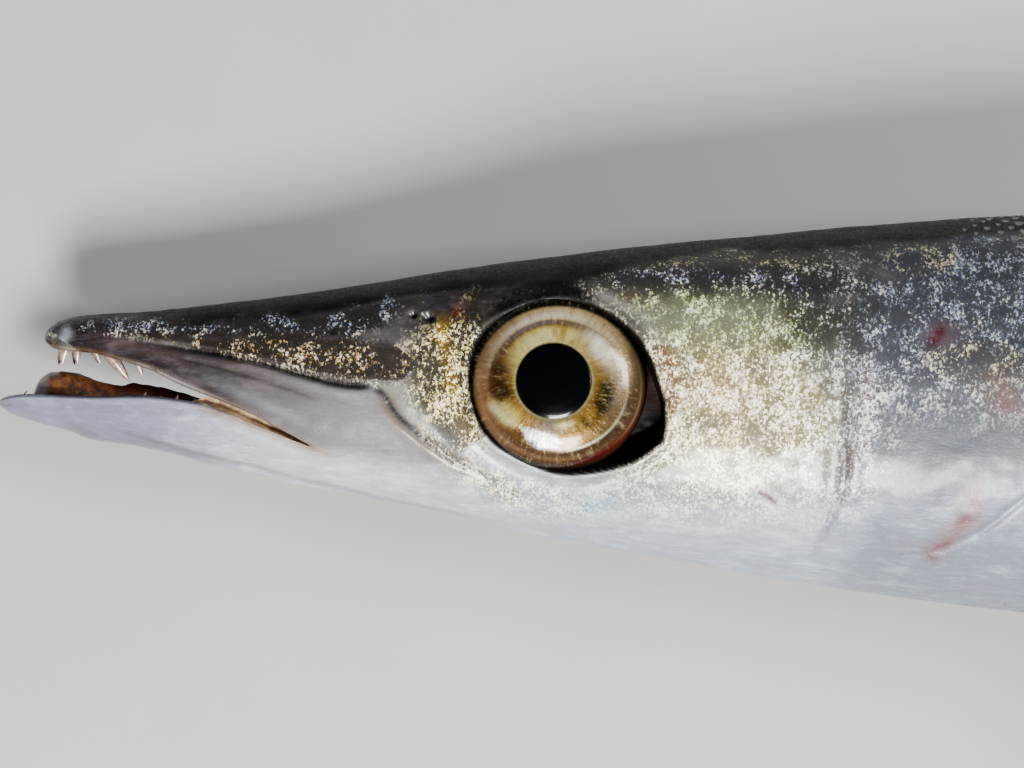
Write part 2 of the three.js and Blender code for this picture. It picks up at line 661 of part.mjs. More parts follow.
const upperFlesh = snoutWithLip.add(headBlock).intersect(upperZone).subtract(lowerZoneWide);
const upperJaw = joined(upperFlesh, upperTeeth);
const lowerJaw = joined(chinWithLip.add(headBlock.intersect(lowerZone)), lowerTeeth);

// Flesh behind the gills.
const rightPectoralBed = rightPectoral(2 * GAP);
const shoulders = bodyLoft(HEAD_END + GAP / 2, TRUNK_HALF - GAP / 2, 13);
const trunkFront = shoulders.subtract(coverBed).subtract(rightPectoralBed);
const trunkRear = bodyLoft(TRUNK_HALF + GAP / 2, STEM_START - GAP / 2, 13);
const tailStem = bodyLoft(STEM_START + GAP / 2, STEM_END, 8);

const surface = (color, roughness, metalness) => new THREE.MeshStandardMaterial({ color, roughness, metalness });
const SILVER = surface("#a9a695", 0.32, 0.35);
const DARK_SNOUT = surface("#6f6c62", 0.35, 0.2);
const PALE_JAW = surface("#c9ccd4", 0.3, 0.1);
const GUM = surface("#9a4a22", 0.35, 0);
const BRASS = surface("#a87f3c", 0.12, 0.5);
const FIN = surface("#8f8c78", 0.4, 0.1);

const fish = new THREE.Group();

function add(name, shape, material) {
  const { numProp, numVert, vertProperties, triVerts } = largest(shape.simplify(FLAT_ENOUGH)).getMesh();
  const at = new Float32Array(numVert * 3);
  for (let i = 0; i < numVert; i++) at.set(vertProperties.subarray(i * numProp, i * numProp + 3), i * 3);
  const geometry = new THREE.BufferGeometry().setAttribute("position", new THREE.BufferAttribute(at, 3));
  geometry.setIndex(new THREE.BufferAttribute(triVerts, 1)).computeVertexNormals();
  const mesh = new THREE.Mesh(geometry, material);
  mesh.name = name;
  fish.add(mesh);
}

add("head", skull, DARK_SNOUT);
add("upper_jaw", upperJaw, PALE_JAW);
add("lower_jaw", lowerJaw, PALE_JAW);
add("tongue", tongue(), GUM);
add("gill_cover_left", coverLeft, SILVER);
add("gill_cover_right", coverRight, SILVER);
add("trunk_front", trunkFront, SILVER);
add("trunk_rear", trunkRear, SILVER);
add("tail_stem", tailStem, SILVER);
add("dorsal_fin_first", middleFin(FIRST_DORSAL), FIN);
add("dorsal_fin_second", middleFin(SECOND_DORSAL), FIN);
add("anal_fin", middleFin(ANAL), FIN);
add("tail_fin_upper", tailLobe(TAIL_UPPER), FIN);
add("tail_fin_lower", tailLobe(TAIL_LOWER), FIN);
add("pectoral_fin_left", leftPectoral(), FIN);
add("pectoral_fin_right", rightPectoral(), FIN);
add("pelvic_fin_left", pelvic(1), FIN);
add("pelvic_fin_right", pelvic(-1), FIN);
for (const [name, side] of SIDES) {
  const eye = new THREE.Mesh(eyeGeometry(), BRASS);
  eye.name = `eye_${name}`;
  eye.rotation.copy(eyeTurn(side));
  eye.position.copy(eyePlace(side));
  fish.add(eye);
}

// The origin is the middle of the whole outline, on the floor.
const extent = new THREE.Box3().setFromObject(fish, true);
const centre = extent.getCenter(new THREE.Vector3());
fish.position.set(-centre.x, -centre.y, -extent.min.z);

export default fish;
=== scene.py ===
"""A small barracuda lying on its right side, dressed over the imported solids.

Fish measures are in millimetres: s is the station behind the tip of the upper jaw, h the height above that
tip towards the back, and w the distance to the left of the fish's middle plane.
"""
import math

import bpy
import numpy as np
from mathutils import Matrix, Vector


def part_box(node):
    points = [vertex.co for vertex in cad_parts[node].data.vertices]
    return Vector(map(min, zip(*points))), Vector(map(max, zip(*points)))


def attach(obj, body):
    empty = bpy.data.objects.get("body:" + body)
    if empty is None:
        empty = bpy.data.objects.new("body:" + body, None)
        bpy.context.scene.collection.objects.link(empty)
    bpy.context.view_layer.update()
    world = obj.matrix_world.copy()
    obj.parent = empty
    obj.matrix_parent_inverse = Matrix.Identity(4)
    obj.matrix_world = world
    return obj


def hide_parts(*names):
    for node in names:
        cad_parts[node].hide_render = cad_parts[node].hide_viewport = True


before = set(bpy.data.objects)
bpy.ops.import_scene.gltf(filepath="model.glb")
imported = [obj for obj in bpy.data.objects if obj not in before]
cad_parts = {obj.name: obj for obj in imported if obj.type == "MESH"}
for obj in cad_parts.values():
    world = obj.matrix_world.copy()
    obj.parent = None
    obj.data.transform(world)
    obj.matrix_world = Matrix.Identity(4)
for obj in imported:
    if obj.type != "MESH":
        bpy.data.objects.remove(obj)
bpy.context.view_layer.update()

# Profiles of the body as (station, value) knots, the same as the solids have.
BACK = [
    (0, 0.9), (3.6, 2.0), (11.2, 2.8), (22, 4.5), (33, 6.5), (44, 8.7), (54.5, 10.6), (65.4, 12.3),
    (76, 13.8), (87, 15.3), (98, 16.6), (106, 17.4), (125, 18.9), (145, 20.0), (165, 20.2), (190, 19.4),
    (215, 17.4), (232, 15.5), (250, 12.6), (265, 9.8), (280, 7.6), (300, 5.9), (318, 5.6), (338, 6.4),
]
BELLY = [
    (-4.5, -8.7), (-3, -9.1), (-1.3, -9.6), (3.1, -10.5), (5.8, -11.4), (11.9, -12.2), (22.9, -14.5),
    (33.9, -16.2), (44.9, -17.9), (55.9, -19.9), (66.8, -21.4), (77.8, -22.9), (88.8, -24.2), (99.7, -25.2),
    (108, -25.8), (125, -27.4), (145, -28.6), (165, -28.9), (190, -28.2), (215, -26.2), (235, -23.6),
    (250, -20.6), (265, -17.8), (280, -15.9), (300, -14.4), (318, -14.0), (338, -15.0),
]
HALF_WIDTH = [
    (29.8, 8.4), (40, 10.0), (50, 11.6), (56, 12.6), (65, 13.8), (76, 15.2), (87, 16.6), (98, 17.8),
    (108, 18.6), (125, 19.4), (145, 19.8), (165, 19.6), (190, 18.6), (215, 16.4), (235, 14.0), (255, 11.2),
    (275, 8.4), (295, 6.2), (315, 5.0), (330, 4.2), (338, 3.4),
]
WIDEST = [(29.8, -6.5), (40, -5.8), (50, -5.0), (60, -4.7), (100, -4.5), (165, -4.3), (338, -4.3)]
BACK_POWER = [(29.8, 2.3), (46, 2.8), (56, 3.1), (68, 2.8), (100, 2.3), (140, 2.1), (338, 2.1)]
BELLY_POWER = [(29.8, 1.8), (45, 1.9), (60, 2.0), (90, 1.95), (120, 2.0), (338, 2.0)]
MIDDLE = [
    (-4.5, 12.4), (0, 12.6), (30, 14.0), (60, 15.4), (85, 16.4), (100, 17.2), (108, 17.7), (125, 18.6),
    (145, 19.0), (165, 18.8), (190, 17.8), (215, 15.6), (235, 13.2), (255, 10.4), (275, 7.6), (295, 5.4),
    (315, 4.2), (335, 3.1), (345, 1.9),
]
UPPER_HALF = [(0, 2.2), (3, 3.1), (10, 4.9), (20, 6.8), (29.8, 8.4)]
UPPER_WIDEST = [(0, -0.6), (5, -1.3), (10, -2.2), (20, -4.6), (29.8, -6.5)]
UPPER_LIP = [
    (0, -1.0), (2.1, -1.5), (5.5, -1.7), (8.8, -2.4), (12.2, -3.3), (14.9, -4.5), (20.4, -6.5), (26, -9.1),
    (29.8, -11),
]
LOWER_HALF = [(-4.5, 1.5), (-2, 2.3), (0, 2.8), (3, 3.4), (10, 4.9), (20, 6.7), (29.8, 8.4)]
LOWER_WIDEST = [(-4.5, -8.1), (0, -7.9), (10, -7.6), (20, -7.4), (29.8, -6.5)]
LOWER_LIP = [
    (-4.5, -7.4), (-2.3, -7.1), (0, -6.95), (5, -6.9), (12.2, -6.6), (17.6, -7.1), (20.9, -7.9),
    (25.3, -9.4), (29.8, -11),
]
LATERAL_LINE = [
    (84, 6.5), (100, 6.0), (125, 4.6), (165, 2.4), (215, 0.0), (265, -2.6), (300, -3.9), (338, -4.3),
]
JAW_TIP = -4.5
SNOUT_TIP_HEIGHT = -0.2
CHIN_TIP_HEIGHT = -7.9
CORNER = 29.8
CORNER_HEIGHT = -11.0
SNOUT_ROUND = 1.6
CHIN_ROUND = 2.0
HEAD_END = 112
STEM_END = 336.0
# The body ends in a thin edge over the root of the tail fin.
TAIL_EDGE = 342.5
TAIL_EDGE_TOP = 5.2
TAIL_EDGE_LOW = -13.4
TAIL_THINNED = 0.975

# Furrows, folds and outlines of the head's left side, as (station, height) points.
DARK_FURROW = [
    (11.2, -0.5), (14.0, -0.7), (17.3, -1.2), (20.1, -1.6), (23.9, -2.2), (27.2, -3.0), (29.4, -3.5),
    (31.5, -4.0), (33.7, -4.2), (36.0, -4.2),
]
CHEEK_FURROW = [
    (36.0, -4.2), (37.1, -5.1), (37.6, -5.9), (38.7, -7.3), (40.5, -8.8), (42.6, -10.3), (44.8, -11.8),
    (47.0, -12.8), (49.1, -14.0), (51.3, -15.2),
]
JAWBONE_LINE = [(13.2, -1.7), (18.7, -2.8), (24.2, -4.1), (30.8, -6.0)]
EYE_FOLD = [(65.2, 1.3), (66.7, -1.2), (67.2, -3.8), (66.0, -6.4)]
CHEEK_EDGE = [
    (84.2, -1.0), (84.5, -5.6), (84.9, -9.2), (85.0, -12.9), (84.3, -15.6), (83.4, -18.3), (82.6, -20.6),
]
COVER_RIDGE = [(90.7, -14.7), (94.7, -11.3), (97.7, -8.6), (101.0, -6.9)]
COVER_TOP = [(86.8, -0.3), (90.9, -2.7), (97.0, -3.0), (101.0, -2.3)]
COVER_BOW = [(103.5, -10.9), (100.5, -15.3), (97.6, -19.8), (93.6, -22.5)]
CHIN_LINE = [(6.8, -9.7), (15.5, -12.0), (24.2, -13.8), (32.9, -15.6), (41.6, -17.2), (50.4, -18.6)]
GILL_COVER = [
    (84.9, 3.4), (93.6, 4.6), (101.9, 3.4), (107.2, 1.2), (109.4, -2.0), (108.3, -5.6), (105.6, -9.8),
    (102.7, -13.0), (99.2, -16.4), (94.7, -18.8), (87.6, -20.0), (81.2, -19.6), (81.6, -16.6),
    (83.8, -11.8), (84.9, -6.5), (84.9, -2.0),
]
EYE = {"s": 55.38, "h": -2.95, "sunk": 3.9, "tilt": 0.03, "yaw": 0.145}
# How far the lid's edge is from the pupil's middle, by degrees from the tail towards the back.
LID_EDGE = [
    (-35, 11.8), (-27.5, 12.1), (-12.5, 11.2), (2.5, 10.1), (17.5, 9.6), (32.5, 9.25), (47.5, 8.9),
    (62.5, 8.7), (77.5, 8.55), (92.5, 8.5), (107.5, 8.5), (122.5, 8.7), (137.5, 9.1), (152.5, 9.5),
    (167.5, 9.5), (182.5, 9.4), (197.5, 9.3), (212.5, 9.3), (227.5, 9.1), (242.5, 8.85), (257.5, 9.0),
    (272.5, 9.4), (287.5, 9.75), (302.5, 10.4), (317.5, 11.3), (332.5, 12.1),
]

# Where the fish's measures lie in the frame, from the end of the tail's stem and the middle of the eye.
SOLID_EYE_HEIGHT = -2.8
SHIFT_S = STEM_END - 1000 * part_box("tail_stem")[1].x
EYE_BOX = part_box("eye_left")
SHIFT_H = SOLID_EYE_HEIGHT - 500 * (EYE_BOX[0].y + EYE_BOX[1].y)


def through(knots):
    """A smooth function through (x, y) knots, held at both ends."""
    xs = np.array([k[0] for k in knots], float)
    ys = np.array([k[1] for k in knots], float)
    before = np.r_[0, np.arange(len(xs) - 1)]
    after = np.r_[np.arange(1, len(xs)), len(xs) - 1]
    slope = (ys[after] - ys[before]) / (xs[after] - xs[before])

    def at(x):
        x = np.clip(x, xs[0], xs[-1])
        i = np.clip(np.searchsorted(xs, x, "left"), 1, len(xs) - 1)
        span = xs[i] - xs[i - 1]
        t = (x - xs[i - 1]) / span
        rise = (2 * t - 3) * t * t
        a = ((t - 2) * t + 1) * t * span * slope[i - 1]
        b = (t - 1) * t * t * span * slope[i]
        return ys[i - 1] * (1 + rise) - ys[i] * rise + a + b

    return at


back, belly, half_width, widest = through(BACK), through(BELLY), through(HALF_WIDTH), through(WIDEST)
back_power, belly_power, middle = through(BACK_POWER), through(BELLY_POWER), through(MIDDLE)
upper_half, upper_widest, upper_lip = through(UPPER_HALF), through(UPPER_WIDEST), through(UPPER_LIP)
lower_half, lower_widest, lower_lip = through(LOWER_HALF), through(LOWER_WIDEST), through(LOWER_LIP)
lateral_line = through(LATERAL_LINE)


def blend(a, b, t):
    return a + (b - a) * t


def smooth(x, low, high):
    """0 below low and 1 above high, easing between them."""
    t = np.clip((x - low) / (high - low), 0, 1)
    return t * t * (3 - 2 * t)


def hump(x, width):
    """1 at zero, falling away softly on both sides."""
    return np.exp(-((x / width) ** 2))


def rounded(along, length):
    """A quarter circle's rise from 0 to 1 over a length."""
    return np.sqrt(np.maximum(1 - (1 - np.clip(along / length, 0, 1)) ** 2, 0))


def to_frame(s, h, w):
    """Points of the frame, in metres, of fish measures. Nothing goes below the floor."""
    z = np.maximum(middle(s) + w, 0)
    return np.stack([s - SHIFT_S, h - SHIFT_H, z], -1) / 1000


def body_section(s):
    """Half width, widest height, top, belly, lip height, and the two powers of sections at stations."""
    lip = CORNER_HEIGHT * np.ones_like(s)
    return half_width(s), widest(s), back(s), belly(s), lip, back_power(s), belly_power(s)


def upper_jaw_section(s):
    full = rounded(s, SNOUT_ROUND)
    powers = back_power(CORNER) + 0 * s, belly_power(CORNER) + 0 * s
    mid, top, lip = (blend(SNOUT_TIP_HEIGHT, line(s), full) for line in (upper_widest, back, upper_lip))
    return upper_half(s) * full, mid, top, belly(s), lip, *powers


def lower_jaw_section(s):
    full = rounded(s - JAW_TIP, CHIN_ROUND)
    powers = back_power(CORNER) + 0 * s, belly_power(CORNER) + 0 * s
    mid, low, lip = (blend(CHIN_TIP_HEIGHT, line(s), full) for line in (lower_widest, belly, lower_lip))
    return lower_half(s) * full, mid, back(s), low, lip, *powers


def outline(section, angle):
    """Height and width of sections at angles: 0 on the back, pi / 2 on the left flank, pi on the belly."""
    half, mid, top, low, _, up, down = section
    c, n = np.cos(angle), np.sin(angle)
    power = 2 / np.where(c >= 0, up, down)
    rise = np.where(c >= 0, top - mid, mid - low)
    h = mid + rise * np.sign(c) * np.abs(c) ** power
    return h, half * np.sign(n) * np.abs(n) ** power


def angle_at(section, height):
    """The angle at which sections reach a height."""
    _, mid, top, low, _, up, down = section
    under = height < mid
    reach = np.maximum(np.where(under, mid - low, top - mid), 1e-6)
    power = np.where(under, down, up) / 2
    share = np.minimum(np.abs(height - mid) / reach, 1) ** power
    return np.arccos(np.where(under, -share, share))


def flank(s, h):
    """The half width of the body where it has a height."""
    s = np.asarray(s, float)
    section = body_section(s)
    return outline(section, angle_at(section, np.asarray(h, float)))[1]


def arc(section, first, last, columns):
    """Heights and widths at even distances round sections, from one angle to another."""
    t = np.linspace(0, 1, 500)
    stretched = [part[:, None] for part in section]
    angle = first[:, None] + (last - first)[:, None] * t
    h, w = outline(stretched, angle)
    rises, widenings = (np.diff(part, axis=1, prepend=part[:, :1]) for part in (h, w))
    run = np.cumsum(np.hypot(rises, widenings), 1)
    even = np.linspace(0, 1, columns)
    out = np.empty((2, len(run), columns))
    for i, row in enumerate(run / np.maximum(run[:, -1:], 1e-9)):
        out[0, i] = np.interp(even, row, h[i])
        out[1, i] = np.interp(even, row, w[i])
    return out


LID_RADIUS = through(LID_EDGE)


def lid_gap(s, h):
    """How far a point lies outside the lid's edge, negative over the eye."""
    across, up = s - EYE["s"], h - EYE["h"]
    around = (np.degrees(np.arctan2(up, across)) + 30) % 360 - 30
    return np.hypot(across, up) - LID_RADIUS(around)


# Soft noise, the same in each run.
LATTICE = np.random.default_rng(7).random(4096)


def cloud(points, size, seed):
    """Soft noise from 0 to 1 that changes over about one size, at (n, 3) points."""
    p = points / size + seed * 17.3
    cell = np.floor(p).astype(np.int64)
    t = p - cell
    t = t * t * (3 - 2 * t)
    total = 0
    for corner in range(8):
        step = np.array([corner & 1, corner >> 1 & 1, corner >> 2 & 1])
        key = (cell + step) @ np.array([73856093, 19349663, 83492791])
        weight = np.prod(np.where(step, t, 1 - t), axis=1)
        total = total + weight * LATTICE[(key ^ (key >> 13)) % 4096]
    return total


LINE_STEP = 0.35


def smoothed(points):
    """A line of points rounded into a finely stepped one."""
    p = np.array(points, float)
    knots = np.vstack([2 * p[:1] - p[1:2], p, 2 * p[-1:] - p[-2:-1]])
    out = []
    for a, b, c, d in zip(knots, knots[1:], knots[2:], knots[3:]):
        count = max(int(np.linalg.norm(c - b) / LINE_STEP), 2)
        t = np.linspace(0, 1, count, endpoint=False)[:, None]
        square, cube = 2 * a - 5 * b + 4 * c - d, 3 * b - a - 3 * c + d
        out.append(0.5 * (2 * b + (c - a) * t + square * t**2 + cube * t**3))
    return np.vstack(out + [p[-1:]])


class Side:
    """Points of the fish seen from its side, on which lines and areas are drawn."""

    def __init__(self, s, h):
        self.s, self.h = s, h

    def line(self, points, reach):
        """Distance from a line, share of its length, and which side of it, 1 on its left."""
        track = smoothed(points)
        low, high = track.min(0) - reach, track.max(0) + reach
        within_s = (self.s > low[0]) & (self.s < high[0])
        near = np.flatnonzero(within_s & (self.h > low[1]) & (self.h < high[1]))
        distance = np.full(len(self.s), 1e3)
        along = np.zeros(len(self.s))
        side = np.ones(len(self.s))
        heading = np.gradient(track, axis=0)
        for part in np.array_split(near, max(len(near) // 4000, 1)):
            gap = np.stack([self.s[part], self.h[part]], 1)[:, None] - track[None]
            square = (gap**2).sum(2)
            best = square.argmin(1)
            chosen = np.arange(len(part))
            distance[part] = np.sqrt(square[chosen, best])
            along[part] = best / (len(track) - 1)
            turn = heading[best, 0] * gap[chosen, best, 1] - heading[best, 1] * gap[chosen, best, 0]
            side[part] = np.sign(turn)
        return distance, along, side

    def stroke(self, points, width, fade=0.12):
        """A soft line, running out at both ends."""
        distance, along, _ = self.line(points, 3 * width + 0.5)
        return hump(distance, width) * smooth(along, -0.01, fade) * smooth(-along, -1.01, -1 + fade)

    def depth(self, points, reach):
        """How far inside a closed outline a point lies, negative outside."""
        distance, _, _ = self.line(list(points) + [points[0]], reach)
        ring = np.array(points, float)
        inside = np.zeros(len(self.s), bool)
        for (s0, h0), (s1, h1) in zip(ring, np.roll(ring, -1, 0)):
            cross = (h0 > self.h) != (h1 > self.h)
            rise = h1 - h0 if h1 != h0 else 1e-9
            inside ^= cross & (self.s < (s1 - s0) * (self.h - h0) / rise + s0)
        return np.where(inside, distance, -distance)

    def area(self, points, soft):
        """1 inside a closed outline, 0 outside, with a soft edge."""
        return smooth(self.depth(points, 3 * soft + 1), -soft, soft)

    def spot(self, s, h, long, high, turn=0.0):
        """A soft oval, turned anticlockwise by degrees."""
        c, n = math.cos(math.radians(turn)), math.sin(math.radians(turn))
        a = ((self.s - s) * c + (self.h - h) * n) / long
        b = ((self.h - h) * c - (self.s - s) * n) / high
        return np.exp(-(a**2 + b**2))


# The skin, from sheets of points that share their edges.
# Columns go from the ridge of the back, or the belly, to the left and to the right edge of the sheet.
UPPER_COLUMNS = (150, 76)
LOWER_COLUMNS = (72, 38)
MOUTH_COLUMNS = 25
JAW_STEP = 0.2
HEAD_STEP = 0.28
BODY_STEP = 1.5
STEP_GROWTH = 1.02
FINEST_END = 66
TIP_STATIONS = [0.02, 0.12, 0.3, 0.6, 1.0]
TIP_END = 1.3
TAIL_STATIONS = [STEM_END, 337.5, 339.0, 340.5, 341.5]
ROOF_ARCH = 0.35
FLOOR_ARCH = 0.45
LINING_ROUND = 7
THROAT_LENGTH = 14
THROAT_DROP = 1.8
UNWRAP_START = 0.02
UNWRAP_HEAD = 0.6
UNWRAP_BODY = 0.35 / 230
# Where the columns of each side of the two sheets lie on the unwrap.
LOWER_RIGHT_ACROSS = np.linspace(0.12, 0.22, LOWER_COLUMNS[1] + 1)
UPPER_RIGHT_ACROSS = np.linspace(0.22, 0.42, UPPER_COLUMNS[1] + 1)
UPPER_LEFT_ACROSS = np.linspace(0.42, 0.8, UPPER_COLUMNS[0] + 1)
LOWER_LEFT_ACROSS = np.linspace(0.8, 0.98, LOWER_COLUMNS[0] + 1)


def stations():
    """Stations of the upper jaw, of the lower jaw, and of all that both sheets share."""
    cheek = np.arange(CORNER, FINEST_END, JAW_STEP)
    cover = np.arange(FINEST_END, HEAD_END, HEAD_STEP)
    body = HEAD_END + np.cumsum(np.minimum(HEAD_STEP * STEP_GROWTH ** np.arange(1, 400), BODY_STEP))
    shared = np.r_[cheek, cover, HEAD_END, body[body < STEM_END], TAIL_STATIONS]

    def jaw(length):
        steps = int((length - TIP_END) / JAW_STEP)
        return np.r_[TIP_STATIONS, np.linspace(TIP_END, length, steps)[:-1]]

    return jaw(CORNER), JAW_TIP + jaw(CORNER - JAW_TIP), shared


def unwrap_along(s):
    """How far along the skin's unwrap a station lies. The head has more room on it than the body."""
    s = np.asarray(s, float)
    head = UNWRAP_START + UNWRAP_HEAD * (np.minimum(s, HEAD_END) - JAW_TIP) / (HEAD_END - JAW_TIP)
    return head + UNWRAP_BODY * np.maximum(s - HEAD_END, 0)


def corners(grid):
    """The four corners of each face of a grid."""
    return np.stack([grid[:-1, :-1], grid[:-1, 1:], grid[1:, 1:], grid[1:, :-1]], -1)


def tail_end(section, s):
    """The root of the tail fin: the body runs out to a thin edge over it."""
    share = smooth(s, STEM_END - 4, TAIL_EDGE)
    half, mid, top, low, lip, up, down = section
    top = blend(top, TAIL_EDGE_TOP, share)
    low = blend(low, TAIL_EDGE_LOW, share)
    return half * (1 - TAIL_THINNED * share), mid, top, low, lip, up, down


def inside_out(points, faces):
    """Whether the faces of a closed form look inwards."""
    a, b, c, d = (points[faces[:, k]] for k in range(4))
    return (np.cross(b - a, c - a) * a).sum() + (np.cross(c - a, d - a) * a).sum() < 0


class Skin:
    """Points and faces of the skin, with the zone of each point: 1 outside and 0 in the mouth."""

    def __init__(self):
        upper, lower, shared = stations()
        self.shared = len(shared)
        s_upper, s_lower = np.r_[upper, shared], np.r_[lower, shared]
        body = tail_end(body_section(shared), shared)
        upper_jaw, lower_jaw = upper_jaw_section(upper), lower_jaw_section(lower)
        top = [np.r_[a, b] for a, b in zip(upper_jaw, body)]
        low = [np.r_[a, b] for a, b in zip(lower_jaw, body)]
        # Behind the corner of the mouth, the two sheets meet at the same angle all along.
        meeting = np.repeat(angle_at([part[:1] for part in body], CORNER_HEIGHT), self.shared)
        top_edge = np.r_[angle_at(upper_jaw, upper_jaw[4]), meeting]
        low_edge = np.r_[angle_at(lower_jaw, lower_jaw[4]), meeting]
        self.points, self.faces, self.unwrap, self.count = [], [], [], 0

        left, right = (arc(top, 0 * s_upper, top_edge, columns + 1) for columns in UPPER_COLUMNS)
        h = np.hstack([right[0][:, :0:-1], left[0]])
        w = np.hstack([-right[1][:, :0:-1], left[1]])
        self.upper = self.grid(s_upper[:, None] + 0 * h, h, w, 1)

        left, right = (arc(low, low_edge, np.pi + 0 * s_lower, columns + 1) for columns in LOWER_COLUMNS)
        h = np.hstack([left[0], right[0][:, -2::-1]])
        w = np.hstack([left[1], -right[1][:, -2::-1]])
        self.lower = self.grid(s_lower[:, None] + 0 * h, h, w, 1)
        self.lower[-self.shared:, 0] = self.upper[-self.shared:, -1]
        self.lower[-self.shared:, -1] = self.upper[-self.shared:, 0]

        # Each lining starts from a lip's edge. The rows behind it are the throat's.
        rows = len(upper) + 1
        s, h, w = self.lining(self.upper[:rows, -1], top[2][:rows], 0.0, ROOF_ARCH)
        self.roof = self.throat(s, h, w)
        self.roof[:rows, 0], self.roof[:rows, -1] = self.upper[:rows, -1], self.upper[:rows, 0]
        behind = len(self.roof) - rows
        rows = len(lower) + 1
        s, h, w = self.lining(self.lower[:rows, 0], low[3][:rows], JAW_TIP, FLOOR_ARCH)
        self.floor = self.throat(s, h[:, ::-1], w[:, ::-1])
        self.floor[:rows, 0], self.floor[:rows, -1] = self.lower[:rows, -1], self.lower[:rows, 0]
        self.floor[-behind:, 0], self.floor[-behind:, -1] = self.roof[-behind:, -1], self.roof[-behind:, 0]

        across = np.r_[UPPER_RIGHT_ACROSS, UPPER_LEFT_ACROSS[1:]]
        self.quads(self.upper, unwrap_along(s_upper), across)
        belly_column = LOWER_COLUMNS[0]
        self.quads(self.lower[:, :belly_column + 1], unwrap_along(s_lower), LOWER_LEFT_ACROSS)
        self.quads(self.lower[:, belly_column:], unwrap_along(s_lower), LOWER_RIGHT_ACROSS)
        for ids, first, last in ((self.roof, 0.01, 0.05), (self.floor, 0.06, 0.1)):
            self.quads(ids, np.linspace(0.02, 0.4, len(ids)), np.linspace(first, last, MOUTH_COLUMNS))
        self.cap(np.r_[self.upper[0], self.roof[0][1:-1]], -1, 1)
        self.cap(np.r_[self.lower[0], self.floor[0][1:-1]], -1, 1)
        self.cap(np.r_[self.roof[-1], self.floor[-1][1:-1]], 1, 0)
        self.cap(np.r_[self.upper[-1], self.lower[-1][1:-1]], 1, 1)
        self.finish()

    def lining(self, edge, limit, start, arch):
        """The mouth's lining from the left lip to the right one, arched towards the back or the belly."""
        across = np.linspace(1, -1, MOUTH_COLUMNS)
        s_lip, h_lip, w_lip = (self.at(edge, axis) for axis in range(3))
        rise = arch * (limit - h_lip) * rounded(s_lip - start, LINING_ROUND)
        return s_lip, h_lip[:, None] + rise[:, None] * (1 - across**2), w_lip[:, None] * across

    def throat(self, s, h, w):
        """A sheet of the mouth's lining, going on behind the corner into a throat that closes."""
        deep = np.linspace(0, 1, 14)[1:]
        narrow = np.sqrt(1 - (0.97 * deep) ** 2)[:, None]
        sinking = h[-1, 0] - THROAT_DROP * deep[:, None]
        h = np.vstack([h, sinking + (h[-1] - h[-1, 0]) * narrow])
        w = np.vstack([w, w[-1] * narrow])
        s = np.r_[s, s[-1] + THROAT_LENGTH * deep]
        return self.grid(s[:, None] + 0 * h, h, w, 0)

    def grid(self, s, h, w, zone):
        """Add a grid of points, and give their numbers."""
        ids = np.arange(s.size).reshape(s.shape) + self.count
        self.points.append(np.stack([s, h, w, np.full(s.shape, float(zone))], -1).reshape(-1, 4))
        self.count += s.size
        return ids

    def at(self, ids, axis):
        """One measure of points that are already there."""
        return np.vstack(self.points)[ids, axis]

    def quads(self, ids, along, across):
        """Add the faces of a grid, with their place on the unwrap."""
        self.faces.append(corners(ids).reshape(-1, 4))
        u = corners(along[:, None] + 0 * ids)
        v = corners(across[None] + 0 * ids)
        self.unwrap.append(np.stack([u, v], -1).reshape(-1, 4, 2))

    def cap(self, ring, end, zone):
        """A fan over the end of a tube, as triangles with a doubled corner."""
        points = np.vstack(self.points)[ring]
        hub = self.grid(*[np.array([[points[:, k].mean()]]) for k in range(3)], zone)[0, 0]
        after = np.roll(ring, -1)
        pair = (ring, after) if end > 0 else (after, ring)
        self.faces.append(np.stack([np.full(len(ring), hub), *pair, pair[1]], 1))
        patch = 0.99 - 0.005 * np.array([[0, 0], [1, 0], [1, 1], [1, 1]])
        self.unwrap.append(np.repeat(patch[None], len(ring), 0))

    def finish(self):
        """Drop unused points, then work out normals of the bare form."""
        points, faces = np.vstack(self.points), np.vstack(self.faces)
        self.unwrap = np.vstack(self.unwrap)
        used = np.zeros(len(points), bool)
        used[faces] = True
        renumber = np.cumsum(used) - 1
        points, faces = points[used], renumber[faces]
        self.upper, self.lower = renumber[self.upper], renumber[self.lower]
        self.s, self.h, self.w, self.zone = points.T
        self.faces = faces
        self.placed = to_frame(self.s, self.h, self.w) * 1000
        if inside_out(self.placed, faces):
            self.faces, self.unwrap = faces[:, ::-1], self.unwrap[:, ::-1]
        self.normal = self.normals(self.placed)

    def normals(self, at):
        """Normals of the skin's points where they lie now."""
        a, b, c, d = (at[self.faces[:, k]] for k in range(4))
        facing = np.cross(c - a, d - b)
        out = np.zeros_like(at)
        for k in range(4):
            for axis in range(3):
                out[:, axis] += np.bincount(self.faces[:, k], facing[:, axis], len(at))
        return out / np.maximum(np.linalg.norm(out, axis=1, keepdims=True), 1e-12)


